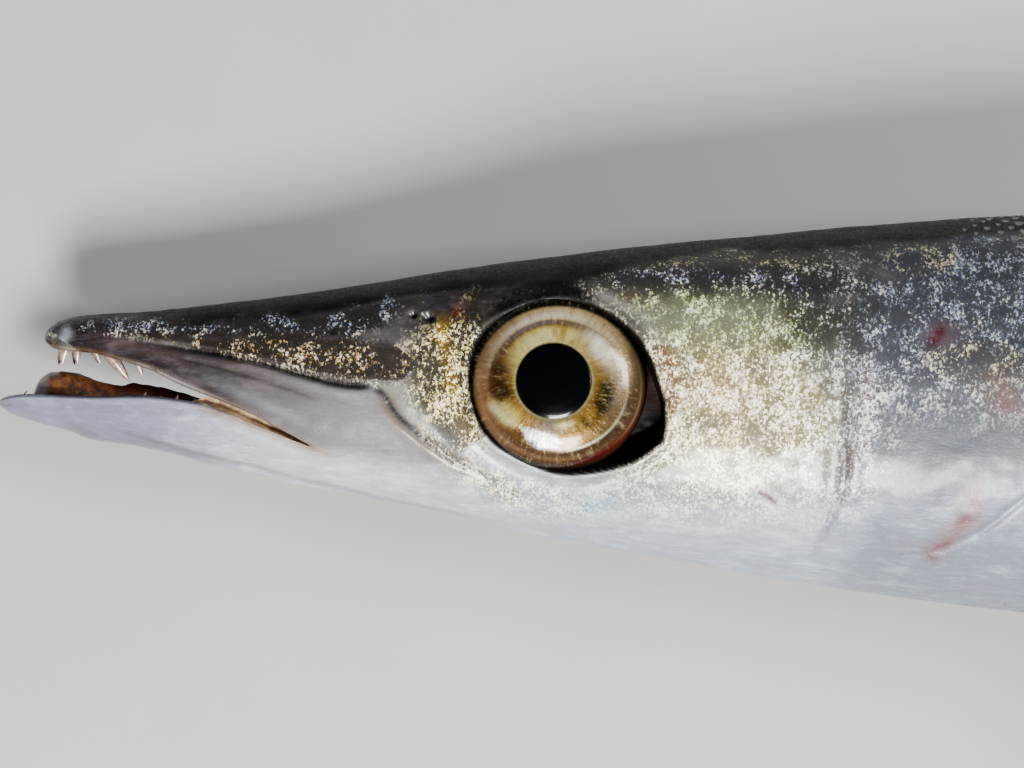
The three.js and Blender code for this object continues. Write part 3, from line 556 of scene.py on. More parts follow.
def relief(skin):
    """How far the skin stands out of the bare form, in millimetres."""
    s, h, outer = skin.s, skin.h, skin.zone > 0.5
    side = Side(s, h)
    out = np.zeros(len(s))
    head = smooth(-s, -118, -104)

    # Lips: a soft roll along each, running out before the corner of the mouth.
    jaw = smooth(-s, -24, -18)
    upper_gap = np.abs(h - upper_lip(s))
    lower_gap = np.abs(h - lower_lip(s))
    out += 0.34 * jaw * hump(upper_gap, 0.55) * (s > 0.2)
    out += 0.34 * jaw * hump(lower_gap, 0.5)

    # The jawbone lies over the snout: a deep furrow with a proud edge below it.
    distance, along, above = side.line(DARK_FURROW, 2.5)
    run = smooth(along, -0.01, 0.3) * smooth(-along, -1.01, -0.93)
    out -= 0.62 * run * hump(distance, 0.3)
    out += 0.16 * run * hump(distance - 0.75, 0.5) * (above < 0)
    out += 0.12 * run * hump(distance - 0.6, 0.5) * (above > 0)
    distance, along, above = side.line(CHEEK_FURROW, 2.5)
    run = smooth(along, -0.01, 0.03) * (1 - 0.75 * smooth(along, 0.2, 1))
    out -= 0.5 * run * hump(distance, 0.34)
    out += 0.1 * run * hump(distance - 0.9, 0.6) * (above < 0)
    out -= 0.1 * side.stroke(JAWBONE_LINE, 0.22)
    membrane = [(13.5, -5.0), (20, -7.3), (29.0, -10.6), (26, -9.9), (20, -7.9)]
    out -= 0.15 * side.area(membrane, 0.4)

    # The pocket that the eye sits in, with the lid's soft edge and the bone round it.
    away = lid_gap(s, h)
    pocket = smooth(-away, -0.1, 0.7)
    out = out * (1 - pocket) - 6.2 * pocket * outer
    out += (0.16 + 0.2 * smooth(h, -6, 0)) * hump(away - 0.45, 0.5) * outer
    front_bone = smooth(-h, 7, 10.5) * smooth(-s, -60, -55) * (1 - pocket)
    out += 0.14 * front_bone * hump(away - 0.2, 2.2) * outer
    over = smooth(h, -4, 4)
    out += 0.3 * over * hump(away - 1.6, 1.1) * outer
    out -= 0.16 * hump(away - 1.5, 0.5) * (1 - over) * outer

    # Folds and bones of the cheek and the cover behind it.
    out += 0.22 * side.stroke(EYE_FOLD, 0.55)
    out -= 0.2 * side.stroke([(s + 0.9, h - 0.2) for s, h in EYE_FOLD], 0.35)
    distance, along, above = side.line(CHEEK_EDGE, 3)
    run = smooth(along, -0.01, 0.2) * smooth(-along, -1.01, -0.8)
    out -= 0.34 * run * hump(distance, 0.42)
    out += 0.14 * run * hump(distance - 1.1, 0.8)
    out += 0.14 * side.stroke(COVER_RIDGE, 1.8, 0.4)
    out -= 0.06 * side.stroke([(s + 1.6, h - 1.6) for s, h in COVER_RIDGE], 1.2, 0.4)
    out -= 0.1 * side.stroke(COVER_TOP, 0.8, 0.4)
    out -= 0.1 * side.stroke(COVER_BOW, 0.8, 0.4)
    depth = side.depth(GILL_COVER, 3)
    rear = smooth(s, 86, 96)
    edge = smooth(depth, -0.2, 0.2)
    out += 0.4 * rear * edge * smooth(-h, -4.6, 0.4)
    out -= 0.25 * rear * hump(depth + 0.35, 0.35) * smooth(-h, -4.2, 0.4)

    # Nostrils, the rows of pores, and the bones of the jaw and chin.
    for at_s, at_h, size, deep in ((31.3, 1.5, 0.5, 0.25), (39.9, 3.5, 0.42, 0.5), (41.5, 3.3, 0.62, 0.7)):
        gap = np.hypot(s - at_s, (h - at_h) * 1.3)
        out -= deep * hump(gap, size) * outer
        out += 0.16 * hump(gap - size * 1.7, 0.28) * outer
    out -= 0.22 * side.stroke(CHIN_LINE, 0.4)
    out -= 0.14 * side.stroke([(5.9, -11.4), (16, -13.0), (27, -15.0)], 0.35)
    for line in ([(20, 1.7), (28, 3.0), (38, 5.4), (47, 6.9)], [(66, 7.5), (74, 8.6), (84, 8.2)]):
        out -= 0.1 * side.stroke(line, 0.35)
    points = np.stack([s, h, skin.w], 1)
    lumps = 0.16 * (cloud(points, 4.2, 1) - 0.5) + 0.08 * (cloud(points, 1.3, 2) - 0.5)
    out += head * outer * lumps

    # The lateral line.
    behind = smooth(s, HEAD_END, HEAD_END + 12)
    out += 0.14 * behind * hump(h - lateral_line(s), 0.8)
    return out * np.where(outer, 1.0, 0.4)


def tint(code):
    """The scene's red, green and blue of a colour written as six hexadecimal digits."""
    parts = np.array([int(code[i:i + 2], 16) / 255 for i in (0, 2, 4)])
    return np.where(parts <= 0.04045, parts / 12.92, ((parts + 0.055) / 1.055) ** 2.4)


CROWN_LINE = through([
    (-5, 1.0), (7.3, 1.9), (17.3, 1.8), (28, 2.9), (38.7, 5.3), (47.2, 6.5), (55.6, 6.8), (64, 9.9),
    (70.3, 11.0), (78.6, 11.8), (87, 12.9), (95.4, 13.8), (103.9, 14.6), (112, 14.0), (150, 12.4),
    (250, 7.0), (300, 3.6), (338, 2.6),
])
SPECK_LINE = through([
    (-5, -0.2), (17.4, 0.1), (28.2, 0.2), (34, 0.9), (38.8, 3.2), (47, 5.4), (56, 6.2), (70.2, 6.3),
    (77, 6.2), (80.6, 2.4), (86.7, 1.7), (94.8, 1.0), (102.9, 0.2), (112, 1.6), (150, 3.6), (250, 0.6),
    (338, -2.8),
])
PALE_LINE = through([
    (-5, -3), (30, -5), (44, -9), (57, -12.5), (72, -13.5), (84, -12.5), (100, -9), (125, -10), (338, -9),
])

# Patches of colour on the head's left side.
SNOUT_BAND = [
    (11, 0.3), (17.5, 0.2), (28, 0.8), (38, 0.4), (40.5, -1.6), (39, -3.6), (33, -3.5), (24, -2.0),
    (14, -0.5),
]
JAWBONE = [
    (0.2, 0.6), (6, 0.2), (11.2, -0.5), (20.1, -1.6), (29.4, -3.5), (36.0, -4.2), (37.6, -6.2),
    (40.5, -9.0), (44.8, -12.0), (40, -12.4), (29.8, -11), (24.6, -8.6), (17.8, -5.4), (11.3, -2.9),
    (4, -1.7),
]
CHEEK = [(60, 9), (84, 8), (90, 4), (87, -14), (74, -16.5), (60, -15.5), (62, -12), (67, -3)]
GOLD_PATCH = [(64.1, 1.3), (76.5, 1.8), (83.8, -3.6), (81.2, -10.9), (75.1, -11.8), (66.8, -11.1)]
GOLD_FRONT = [(38.5, 4.5), (47, 7), (48, -9), (45, -11), (40.5, -6)]
NOSTRIL_PATCH = [(33.6, 0.7), (37, 3.0), (41, 5.4), (44.5, 6.2), (43.5, 3.6), (40.5, 0.8), (36, -0.2)]
UNDER_BROW = [(41.6, 5.4), (47, 7.2), (52, 7.2), (49, 3.6), (46.4, 2.4), (44.6, 2.6)]
BELOW_EYE = [
    (42.5, -6.8), (46, -9.4), (50.5, -12.6), (58, -14.4), (60, -17), (50, -16.5), (43.5, -12), (41, -9),
]
WHITE_CHEEK = [(43.6, -8.5), (56, -14.2), (66, -14.6), (83.7, -14.5), (84, -18.6), (50, -18.0)]
VIOLET_STREAK = [(59, 7.9), (66, 8.6), (76, 8.9), (85, 7.6)]
MOUTH_MEMBRANE = [(15.5, -6.9), (20, -7.9), (25, -9.5), (30, -11.2), (33.5, -12.1)]

# Wetness darkens and deepens the colours.
WET_SHADE = 0.4
WET_DEPTH = 1.22
WET_RICHNESS = 1.3

# Colours of the skin, by the maker's names.
CROWN_BLACK = tint("080809")
SNOUT_SLATE = tint("2e2b30")
SNOUT_BROWN = tint("35281a")
SPECK_OLIVE = tint("4b4a42")
STEEL_BLUE = tint("59616f")
FLANK_SILVER = tint("b3b2ab")
BELLY_PEARL = tint("c9d2df")
CHIN_LILAC = tint("a3a4b6")
JAWBONE_MAUVE = tint("373337")
JAWBONE_REAR = tint("a9a5a6")
CHEEK_GOLD = tint("e0d4a6")
CHEEK_CREAM = tint("f1e9c6")
GREEN_GOLD = tint("9fa678")
RUST = tint("6e3a22")
OLD_GOLD = tint("c2a24e")
SHADE_BROWN = tint("35291f")
SHADE_AND_SCRATCH_BLACK = tint("191414")
POCKET_BROWN = tint("3a1d14")
WHITE = tint("edf1f7")
ASH_VIOLET = tint("514d57")
PEACH = tint("d8b98a")
BLOOD = tint("612831")
GRAZE_TAN = tint("8f7f72")
BLUSH = tint("a17f80")
SEA_BLUE = tint("6cc4dc")
MEMBRANE_TAN = tint("a08059")
MOUTH_RED = tint("4a1d12")
MOUTH_AMBER = tint("8a4a1e")
GREY_PATCH = tint("6f6c68")
LEAF_CREAM = tint("efe6bd")
LEAF_GREEN = tint("c3df62")
LEAF_YELLOW = tint("e0c63e")
LEAF_VIOLET = tint("6f6fb4")
LEAF_GOLD = tint("b08c38")
LEAF_STEEL = tint("8795b0")
LEAF_PEARL = tint("c3cbd8")
STRIPE_BROWN = tint("8a7c58")
FRONT_OLIVE = tint("565138")
BROW_BROWN = tint("3f3430")
COPPER = tint("8a5a34")
REAR_GREY = tint("5a5850")
FLAP_GREY = tint("757a84")
FURROW_TAN = tint("8c7450")
BRUISE = tint("6d5a58")
NOSTRIL_GREY = tint("48444a")


def wetted(tone, shade=WET_SHADE, richness=WET_RICHNESS):
    """Colours as they look on wet skin: deeper, and richer or greyer."""
    grey = (tone @ np.array([0.21, 0.72, 0.07]))[:, None]
    return np.clip(shade * (grey + (tone - grey) * richness), 0.0005, 1) ** WET_DEPTH


def layer(count, first):
    """Colours of points, and the brush that lays another colour on a share of them."""
    colours = np.tile(first, (count, 1))

    def lay(colour, share):
        np.add(colours, (colour - colours) * np.clip(share, 0, 1)[:, None], out=colours)

    return colours, lay


def paint(s, h, w, outer):
    """Colours and finishes of points of the skin, by name."""
    side = Side(s, h)
    points = np.stack([s, h, np.abs(w)], 1)
    soft = cloud(points, 5.5, 3) - 0.5
    mid = cloud(points, 2.1, 4) - 0.5
    fine = cloud(points, 0.8, 5) - 0.5
    rough = soft * 0.5 + mid * 0.35 + fine * 0.3
    left = (w > 0).astype(float)
    nape = smooth(s, 78, 92)
    snout = smooth(-s, -46, -38)

    tone, lay = layer(len(s), FLANK_SILVER)
    leaf_tone, gild = layer(len(s), LEAF_CREAM)

    fore = smooth(-s, -340, -322)
    crown = smooth(h + 1.5 * rough, CROWN_LINE(s) - 0.7, CROWN_LINE(s) + 0.9) * fore
    under = 1.4 + 3.4 * nape
    ragged = h + (2.6 + 3.0 * nape) * rough
    speck = smooth(ragged, SPECK_LINE(s) - under, SPECK_LINE(s) + 1.6 + 1.2 * nape) * fore
    pale = smooth(-h + 2.0 * rough, -PALE_LINE(s) - 2.5, -PALE_LINE(s) + 3.5)
    band = side.area(SNOUT_BAND, 0.7)
    # The jawbone's edge is crisp on the snout and soft at its rear.
    bone = blend(side.area(JAWBONE, 0.35), side.area(JAWBONE, 1.2), smooth(s, 24, 34) * smooth(-h, 6, 9))
    green = side.area([(62, 6.5), (69, 7.6), (79, 5.6), (82, 1.4), (70, 0.0), (65, 2.6)], 1.8)
    gold = side.area(GOLD_PATCH, 3.0)
    gold_front = side.area(GOLD_FRONT, 1.6)
    behind_eye = side.stroke([(65.2, 1.6), (66.9, -1.2), (67.2, -4.0), (66.0, -6.8)], 1.0)
    nostril_patch = side.area(NOSTRIL_PATCH, 0.7)
    under_brow = side.area(UNDER_BROW, 0.9)
    below_eye = side.area(BELOW_EYE, 1.2)

    # Colours of the leaf.
    green_leaf = side.area([(60, 7), (69, 8.6), (80, 7.0), (82, 2.4), (71, -0.4), (64, 2.0)], 1.8)
    gild(LEAF_GREEN, green_leaf * (0.8 + mid))
    gild(LEAF_YELLOW, side.area([(38, 5), (47, 7.5), (48, -9), (45, -11), (40, -6)], 1.5) * (0.75 + mid))
    gild(LEAF_YELLOW, 0.6 * side.spot(71, -7.0, 6.0, 4.0) * (0.8 + mid))
    gild(LEAF_YELLOW, 0.95 * side.stroke([(59, 9.4), (65, 10.0), (72, 10.6), (79, 10.9), (84, 11.0)], 0.9))
    gild(PEACH, 0.9 * side.spot(71.5, -1.8, 3.0, 2.4, -40) + 0.9 * behind_eye)
    gild(LEAF_VIOLET, 0.9 * side.stroke(VIOLET_STREAK, 1.3))
    gild(LEAF_STEEL, snout * speck * (1 - band))
    gild(LEAF_GOLD, band)
    gild(LEAF_YELLOW, 0.9 * side.stroke([(33, 5.2), (38, 6.6), (43, 7.4)], 0.5))
    gild(LEAF_STEEL, smooth(s, 76, 88))
    gild(LEAF_YELLOW, 0.7 * smooth(s, 84, 92) * smooth(soft, 0.12, 0.25))
    gild(LEAF_PEARL, smooth(s, 83, 90) * (1 - speck))

    # Broad fields of colour, from the belly up.
    lay(BELLY_PEARL, pale)
    lay(WHITE, 0.75 * smooth(s, 6, 18) * smooth(-s, -56, -44) * smooth(-h, 5, 9))
    lay(CHIN_LILAC, smooth(-s, -30, -8) * smooth(-h, 3.5, 8))
    chin_bruise = side.stroke([(2, -9.8), (7, -11.2), (13, -12.1), (20, -13.2)], 0.7)
    lay(BRUISE, 0.4 * chin_bruise * (0.8 + mid + fine))
    lay(WHITE, 0.8 * side.area(WHITE_CHEEK, 2.2))
    lay(SPECK_OLIVE, speck * (0.75 + 0.25 * nape))
    lay(STEEL_BLUE, speck * nape * smooth(mid + fine, -0.1, 0.3) * 0.55)
    stripe = smooth(s, 118, 135) * smooth(-s, -338, -320)
    from_line = h - lateral_line(s) + rough
    lay(STRIPE_BROWN, 0.4 * stripe * hump(from_line + 0.2, 1.5))
    lay(STRIPE_BROWN, 0.22 * stripe * hump(from_line + 6.5, 1.2) * smooth(-s, -300, -240))

    # Snout and jawbone.
    lay(SNOUT_SLATE, 0.95 * snout * smooth(h + 1.2 * rough, SPECK_LINE(s) - 0.8, SPECK_LINE(s) + 0.6))
    lay(JAWBONE_MAUVE, 0.85 * side.stroke([(4.5, 0.3), (9, 0.2), (14, -0.1)], 0.8, 0.2))
    lay(JAWBONE_MAUVE, 0.9 * smooth(-s, -3.4, -1.4) * smooth(h, -3.4, -2.8))
    lay(SNOUT_BROWN, 0.92 * band)
    lay(blend(JAWBONE_MAUVE, JAWBONE_REAR, smooth(s, 12, 40)[:, None]), bone)
    lay(WHITE, 0.15 * bone * smooth(s, 14, 24) * side.stroke([(16, -3.2), (24, -6.4), (30, -8.8)], 0.6))
    lay(BRUISE, 0.5 * side.stroke([(5.5, -0.2), (10, -1.1), (14, -2.0), (18, -3.0)], 1.0, 0.3))
    lay(BRUISE, 0.6 * bone * side.stroke([(14, 0.0), (20, -1.4), (26, -3.6)], 1.2) * (0.8 + mid + fine))
    lay(ASH_VIOLET, 0.25 * bone * smooth(mid + fine, 0.0, 0.4) * smooth(-s, -26, -16))
    lay(BRUISE, 0.35 * side.area([(4.8, 1.0), (9.5, 0.6), (11, -1.4), (7, -1.4), (5, -0.8)], 0.8))
    lay(WHITE, 0.55 * side.stroke([(2.3, 1.2), (2.7, 0.2), (2.2, -1.0)], 0.62) * (0.9 + mid))
    lay(SHADE_BROWN, 0.8 * side.spot(4.4, 0.5, 0.9, 0.7) + 0.6 * side.spot(5.9, -0.6, 0.8, 0.5))
    lay(MEMBRANE_TAN, 0.7 * side.stroke(MOUTH_MEMBRANE, 0.5, 0.25))

    # The cheek: gold and cream leaf over silver, olive above, white below.
    lay(FRONT_OLIVE, 0.8 * gold_front)
    lay(CHEEK_GOLD, gold * (0.75 + 0.9 * mid))
    lay(CHEEK_CREAM, gold * smooth(fine + 0.6 * mid, 0.0, 0.35) * 0.8)
    lay(GREEN_GOLD, 0.5 * green)
    lay(REAR_GREY, 0.6 * side.area([(74, 5.6), (84, 6), (88, 1), (85, -3), (79, 0.5)], 1.6) * (0.8 + mid))
    lay(OLD_GOLD, side.stroke([(43.0, 4.6), (42.9, 1.5), (43.9, -2.0), (44.8, -5.6)], 0.75) * (0.8 + mid))
    lay(OLD_GOLD, 0.4 * side.spot(45.8, -8.0, 1.3, 2.2, 30))
    lay(BROW_BROWN, 0.85 * under_brow)
    rust = 0.8 * side.spot(44.6, 3.9, 0.9, 1.9, 20) * (0.8 + mid)
    lay(RUST, rust + 0.5 * side.spot(62.7, 6.1, 2.0, 0.9, -10))
    lay(COPPER, 0.75 * behind_eye)
    lay(PEACH, 0.75 * side.spot(72, -2.4, 2.6, 1.8, -30))
    lay(ASH_VIOLET, 0.85 * side.stroke(VIOLET_STREAK, 1.5) * (0.85 + mid))
    lay(SEA_BLUE, 0.75 * side.spot(59.8, -16.1, 1.5, 0.9))
    lay(FLAP_GREY, 0.85 * smooth(s, 82, 90) * smooth(-s, -118, -108) * (1 - 0.45 * pale))
    lay(NOSTRIL_GREY, 0.8 * nostril_patch)
    smears = side.stroke([(82.5, 11.9), (86.5, 10.6), (90.6, 8.9)], 1.0, 0.3)
    smears += 0.8 * side.stroke([(82.3, 6.6), (84.6, 7.0), (86.6, 7.4)], 0.6, 0.3)
    lay(GREY_PATCH, 0.75 * smears)

    # The dark crown; painted shade in the furrows, along the creases and in the nostrils and pores; tan by
    # the cheek furrow.
    lay(CROWN_BLACK, crown)
    furrow, along, above = side.line(DARK_FURROW, 2.5)
    run = smooth(along, -0.01, 0.3) * smooth(-along, -1.01, -0.95)
    lay(SHADE_AND_SCRATCH_BLACK, run * hump(furrow, 0.34 + 0.14 * along))
    lay(SHADE_BROWN, 0.6 * run * hump(furrow - 0.6, 0.5) * (above > 0))
    furrow, along, above = side.line(CHEEK_FURROW, 2.5)
    run = smooth(along, -0.01, 0.03) * (1 - 0.35 * smooth(along, 0.4, 1))
    lay(FURROW_TAN, 0.6 * run * hump(furrow - 0.6, 0.4) * smooth(along, 0.02, 0.15))
    lay(SHADE_AND_SCRATCH_BLACK, run * hump(furrow, 0.36))
    lay(SHADE_BROWN, 0.5 * side.stroke(JAWBONE_LINE, 0.35))
    lay(SHADE_BROWN, 0.4 * side.stroke(CHIN_LINE, 0.35) + 0.3 * side.stroke(CHEEK_EDGE, 0.5))
    # Painted shade in the nostrils and in the pores in front of the eye.
    for at_s, at_h, size in ((31.3, 1.5, 0.45), (39.9, 3.5, 0.4), (41.5, 3.3, 0.6)):
        lay(SHADE_AND_SCRATCH_BLACK, 0.9 * side.spot(at_s, at_h, size, size * 0.8))
    for at_s, at_h in ((43.1, 3.1), (42.2, 0.9), (41.8, -2.3), (42.5, -5.4), (40.8, -1.0), (44.0, -8.0)):
        lay(SHADE_AND_SCRATCH_BLACK, 0.6 * side.spot(at_s, at_h, 0.3, 0.22))

    # The eye's pocket: painted shade inside it, brown on the lid's upper edge, and a painted shadow in
    # black on the brow over it.
    away = lid_gap(s, h)
    brow_shadow = hump(away - 0.6, 1.9) * smooth(h, 2.0, 4.6) * smooth(s, 46, 49.5) * smooth(-s, -60, -57)
    pocket_shade = smooth(-away, -0.42, -0.08)
    lay(SHADE_BROWN, 0.5 * hump(away - 0.5, 0.6) * smooth(h, -6, 2))
    lay(CROWN_BLACK, 0.97 * brow_shadow)
    lay(SHADE_AND_SCRATCH_BLACK, pocket_shade)
    lay(POCKET_BROWN, smooth(-away, 0.3, 1.1) * smooth(s, 55, 62) * smooth(h, -9, -3))

    # Blood and grazes.
    graze = 0.8 + 1.2 * mid + fine
    lay(BLUSH, left * 0.3 * side.spot(94.6, 3.2, 2.6, 1.8))
    lay(BLOOD, left * side.spot(94.0, 3.9, 0.7, 0.9, -20) + left * 0.9 * side.spot(93.2, 2.9, 0.6, 0.5))
    lay(GRAZE_TAN, left * 0.5 * side.spot(100.2, -1.6, 4.2, 3.0, -35) * graze)
    lay(BLUSH, left * 0.45 * side.spot(101.4, -3.2, 2.2, 1.3, -35) * graze)
    scraped = side.stroke([(94.2, -20.2), (96.6, -17.2), (98.2, -14.2), (97.8, -10.4)], 1.3)
    lay(BLUSH, left * 0.95 * scraped * (0.9 + 0.5 * mid))
    torn = smooth(fine + mid, -0.12, 0.22)
    lay(BLOOD, left * 0.55 * torn * side.stroke([(94.4, -20.0), (96.8, -17.0), (98.2, -13.4)], 0.85))
    lay(BRUISE, left * 0.45 * side.spot(94.6, -13.0, 2.2, 1.4) * graze)
    sore = side.stroke([(86.9, 0.2), (86.7, -4.0), (86.1, -8.0), (85.2, -12.0)], 1.1)
    lay(BLUSH, left * 0.55 * sore * graze)
    lay(BLOOD, left * 0.95 * side.stroke([(76.4, -13.3), (78.7, -14.7)], 0.3))
    lay(SHADE_AND_SCRATCH_BLACK, left * 0.95 * side.stroke([(66.4, -11.5), (69.3, -11.9)], 0.22))
    marks = side.spot(77.6, -14.0, 1.8, 0.9, -30) + side.spot(67.8, -11.7, 2.0, 0.6)
    marks += side.spot(93.8, 3.6, 1.5, 1.2) + 0.6 * side.spot(101.0, -2.8, 3.4, 2.2, -35) + 0.8 * smears

    # The mouth's lining.
    inside = 1 - outer
    lay(blend(MOUTH_RED, MOUTH_AMBER, smooth(mid + fine, -0.2, 0.5)[:, None]), inside)
    edge = hump(h - upper_lip(s), 0.35) * (s < CORNER - 1) * (s > 0)
    lay(MEMBRANE_TAN, 0.3 * edge * outer)

    fleck = outer * np.clip(speck * 0.95 + 0.95 * band + 0.35 * green + 0.45 * gold_front, 0, 1)
    cheek = side.area(CHEEK, 2.6)
    flap = smooth(s, 84, 90) * smooth(h + 3 * rough, -8.0, 2.0)
    lid_side = hump(away - 1.0, 1.5) * smooth(s, 57, 62) * smooth(h, -7, -2) * smooth(-h, -7, -3)
    leaf = np.maximum.reduce([
        cheek * (0.5 + 0.5 * gold), 0.9 * gold_front, 0.9 * speck, 0.85 * band, 0.75 * flap,
        0.9 * behind_eye, 0.75 * lid_side, 0.5 * below_eye,
    ])
    smooth_marks = np.clip(left * marks + 0.85 * nostril_patch + 0.8 * under_brow + brow_shadow, 0, 0.97)
    lustre = 0.25 + 0.45 * gold + 0.25 * smooth(s, 100, 125) - 0.2 * crown - 0.2 * snout
    return {
        "tone": wetted(tone), "leaf": leaf_tone, "fleck": fleck,
        "gilt": outer * np.clip(leaf, 0, 1) * (1 - crown) * (1 - bone) * (1 - smooth_marks) * (1 - pocket_shade),
        "metal": outer * np.clip(lustre, 0, 1), "cool": outer * speck * smooth(s, 58, 90),
        # The crown paint also carries the painted brow shadow and the pocket's painted shade.
        "crown": outer * np.maximum.reduce([crown, brow_shadow, pocket_shade]), "head": smooth(-s, -96, -82),
        "lining": inside,
    }


# Materials.
COLOUR_PAINTS = ("tone", "leaf")


class Socket:
    """One output of a finish's nodes. It takes part in sums, and each sum adds its node."""

    def __init__(self, finish, socket):
        self.finish, self.socket = finish, socket

    def __add__(self, other):
        return self.finish.sum("ADD", self, other)

    def __sub__(self, other):
        return self.finish.sum("SUBTRACT", self, other)

    def __rsub__(self, other):
        return self.finish.sum("SUBTRACT", other, self)

    def __mul__(self, other):
        return self.finish.sum("MULTIPLY", self, other)

    __radd__ = __add__
    __rmul__ = __mul__

    def between(self, low, high):
        """0 below low, 1 above high."""
        values = {"Value": self, "From Min": low, "From Max": high}
        return self.finish.node("ShaderNodeMapRange", {"interpolation_type": "SMOOTHSTEP"}, values)


class Finish:
    """A material that is made from nodes."""

    def __init__(self, name):
        self.material = bpy.data.materials.new(name)
        self.material.use_nodes = True
        self.tree = self.material.node_tree
        self.tree.nodes.clear()

    def node(self, kind, settings, inputs, output=0):
        """Any node: its settings are set first, then the values or links of its sockets."""
        made = self.tree.nodes.new(kind)
        for key, value in settings.items():
            setattr(made, key, value)
        for key, value in inputs.items():
            if isinstance(value, Socket):
                self.tree.links.new(value.socket, made.inputs[key])
            else:
                made.inputs[key].default_value = value
        return Socket(self, made.outputs[output]) if len(made.outputs) else None

    def sum(self, operation, a, b):
        return self.node("ShaderNodeMath", {"operation": operation}, {0: a, 1: b})

    def painted(self, name):
        """A colour or a share that is painted on the points of the piece."""
        output = "Color" if name in COLOUR_PAINTS else "Fac"
        return self.node("ShaderNodeAttribute", {"attribute_name": name}, {}, output)

    def place(self, name="fish"):
        """Where a point lies in the fish, or in another set of measures that its piece carries."""
        return self.node("ShaderNodeAttribute", {"attribute_name": name}, {}, "Vector")

    def stretched(self, vector, along, up, across):
        scaled = {0: vector, 1: (along, up, across)}
        return self.node("ShaderNodeVectorMath", {"operation": "MULTIPLY"}, scaled)

    def noise(self, vector, scale, detail, roughness=0.55):
        values = {"Vector": vector, "Scale": scale, "Detail": detail, "Roughness": roughness}
        return self.node("ShaderNodeTexNoise", {}, values)

    def cells(self, vector, scale, output="Distance"):
        return self.node("ShaderNodeTexVoronoi", {}, {"Vector": vector, "Scale": scale}, output)

    def part(self, colour, channel):
        return self.node("ShaderNodeSeparateColor", {}, {"Color": colour}, channel)

    def mix(self, share, a, b):
        """Colour a with a share of colour b over it."""
        settings = {"data_type": "RGBA", "clamp_factor": True}
        a, b = (v if isinstance(v, Socket) else (*v, 1) for v in (a, b))
        return self.node("ShaderNodeMix", settings, {0: share, 6: a, 7: b}, 2)

    def bump(self, height, distance, strength, after=None):
        values = {"Height": height, "Distance": distance, "Strength": strength}
        if after is not None:
            values["Normal"] = after
        return self.node("ShaderNodeBump", {}, values)

    def surface(self, **values):
        """The shader itself, with its values by name."""
        named = {key.replace("_", " ").title().replace("Ior", "IOR"): values[key] for key in values}
        shader = self.node("ShaderNodeBsdfPrincipled", {}, named)
        self.node("ShaderNodeOutputMaterial", {}, {"Surface": shader})
        return self.material


def skin_finish():
    """Wet skin: gold and silver leaf in flecks over dark, lengthwise streaks, and slime over it all."""
    skin = Finish("wet_fish_skin")
    fish = skin.place()
    tone, fleck, gilt, metal = (skin.painted(name) for name in ("tone", "fleck", "gilt", "metal"))
    lining, head, dark, cool = (skin.painted(name) for name in ("lining", "head", "crown", "cool"))

    # Streaks along the jaws and the belly, and soft bruises.
    bare = (1 - lining) * (1 - dark) * (1 - gilt * 0.85)
    veins = skin.noise(skin.stretched(fish, 0.2, 1.0, 0.8), 2.4, 6, 0.72)
    bruise = skin.noise(skin.stretched(fish, 0.4, 1.0, 0.8), 0.55, 5, 0.62)
    tone = skin.mix(bare * (veins.between(0.46, 0.8) * 0.4), tone, tint("4b4854"))
    lit = bare * skin.part(tone, "Green").between(0.02, 0.2)
    tone = skin.mix(lit * ((1 - veins.between(0.22, 0.5)) * 0.2), tone, tint("e4ebf6"))
    tone = skin.mix(bare * (bruise.between(0.48, 0.68) * 0.26), tone, tint("64585c"))
    tone = skin.mix(lit * ((1 - bruise.between(0.3, 0.5)) * 0.12), tone, tint("eef3fb"))

    # Flecks of leaf: close and bright on the cheek, sparse above, each with a hue of its own.
    jitter = skin.node("ShaderNodeTexNoise", {}, {"Vector": fish, "Scale": 3.4, "Detail": 2.0}, "Color")
    moved = {0: jitter, 1: (0.55, 0.55, 0.55), 2: fish}
    shaken = skin.node("ShaderNodeVectorMath", {"operation": "MULTIPLY_ADD"}, moved)
    grains = skin.cells(skin.stretched(shaken, 1.15, 0.9, 0.9), 4.9, output="Color")
    own, kind = skin.part(grains, "Red"), skin.part(grains, "Green")
    streaks = skin.noise(skin.stretched(fish, 2.1, 0.8, 0.8), 1.8, 6, 0.74)
    patches = skin.noise(fish, 0.42, 4, 0.6)
    level = own * 0.3 + streaks * 0.72 + patches * 0.76 + cool * 0.03 - fleck * 0.12 - 0.41
    hue = skin.mix(kind.between(0.6, 0.7) * 0.5, skin.painted("leaf"), tint("faf0cc"))
    hue = skin.mix((1 - kind.between(0.2, 0.3)) * 0.5, hue, tint("7d8dbb"))
    shade = skin.mix(0.86 - metal * 0.42, tone, tint("171512"))
    tone = skin.mix(gilt * (1 - level.between(0.38, 0.49)) * 0.92, tone, shade)
    tone = skin.mix(gilt * level.between(0.48, 0.58) * (0.85 - cool * 0.35), tone, hue)
    glare = level.between(0.58, 0.68) * (1 - fleck * 0.4) * (1 - cool * 0.5)
    tone = skin.mix(gilt * glare * 0.75, tone, tint("fff8de"))
    tone = skin.mix(dark * (streaks.between(0.6, 0.74) * 0.14), tone, tint("524f47"))

    rough = 0.3 + streaks.between(0.35, 0.7) * 0.22
    height = (own * 0.3 + streaks * 0.7) * gilt + veins * 0.35 + bruise * 0.4
    normal = skin.bump(height, 0.00014, 0.9)
    fine = skin.noise(fish, 4.2, 2, 0.5)
    normal = skin.bump(fine, 0.00004, 0.6, normal)
    return skin.surface(
        base_color=tone, metallic=metal * 0.5, roughness=rough + dark * 0.12, normal=normal,
        coat_weight=(0.22 + head * 0.34) * (1 - dark * 0.95), coat_roughness=0.16, coat_ior=1.34,
        specular_ior_level=0.12,
    )


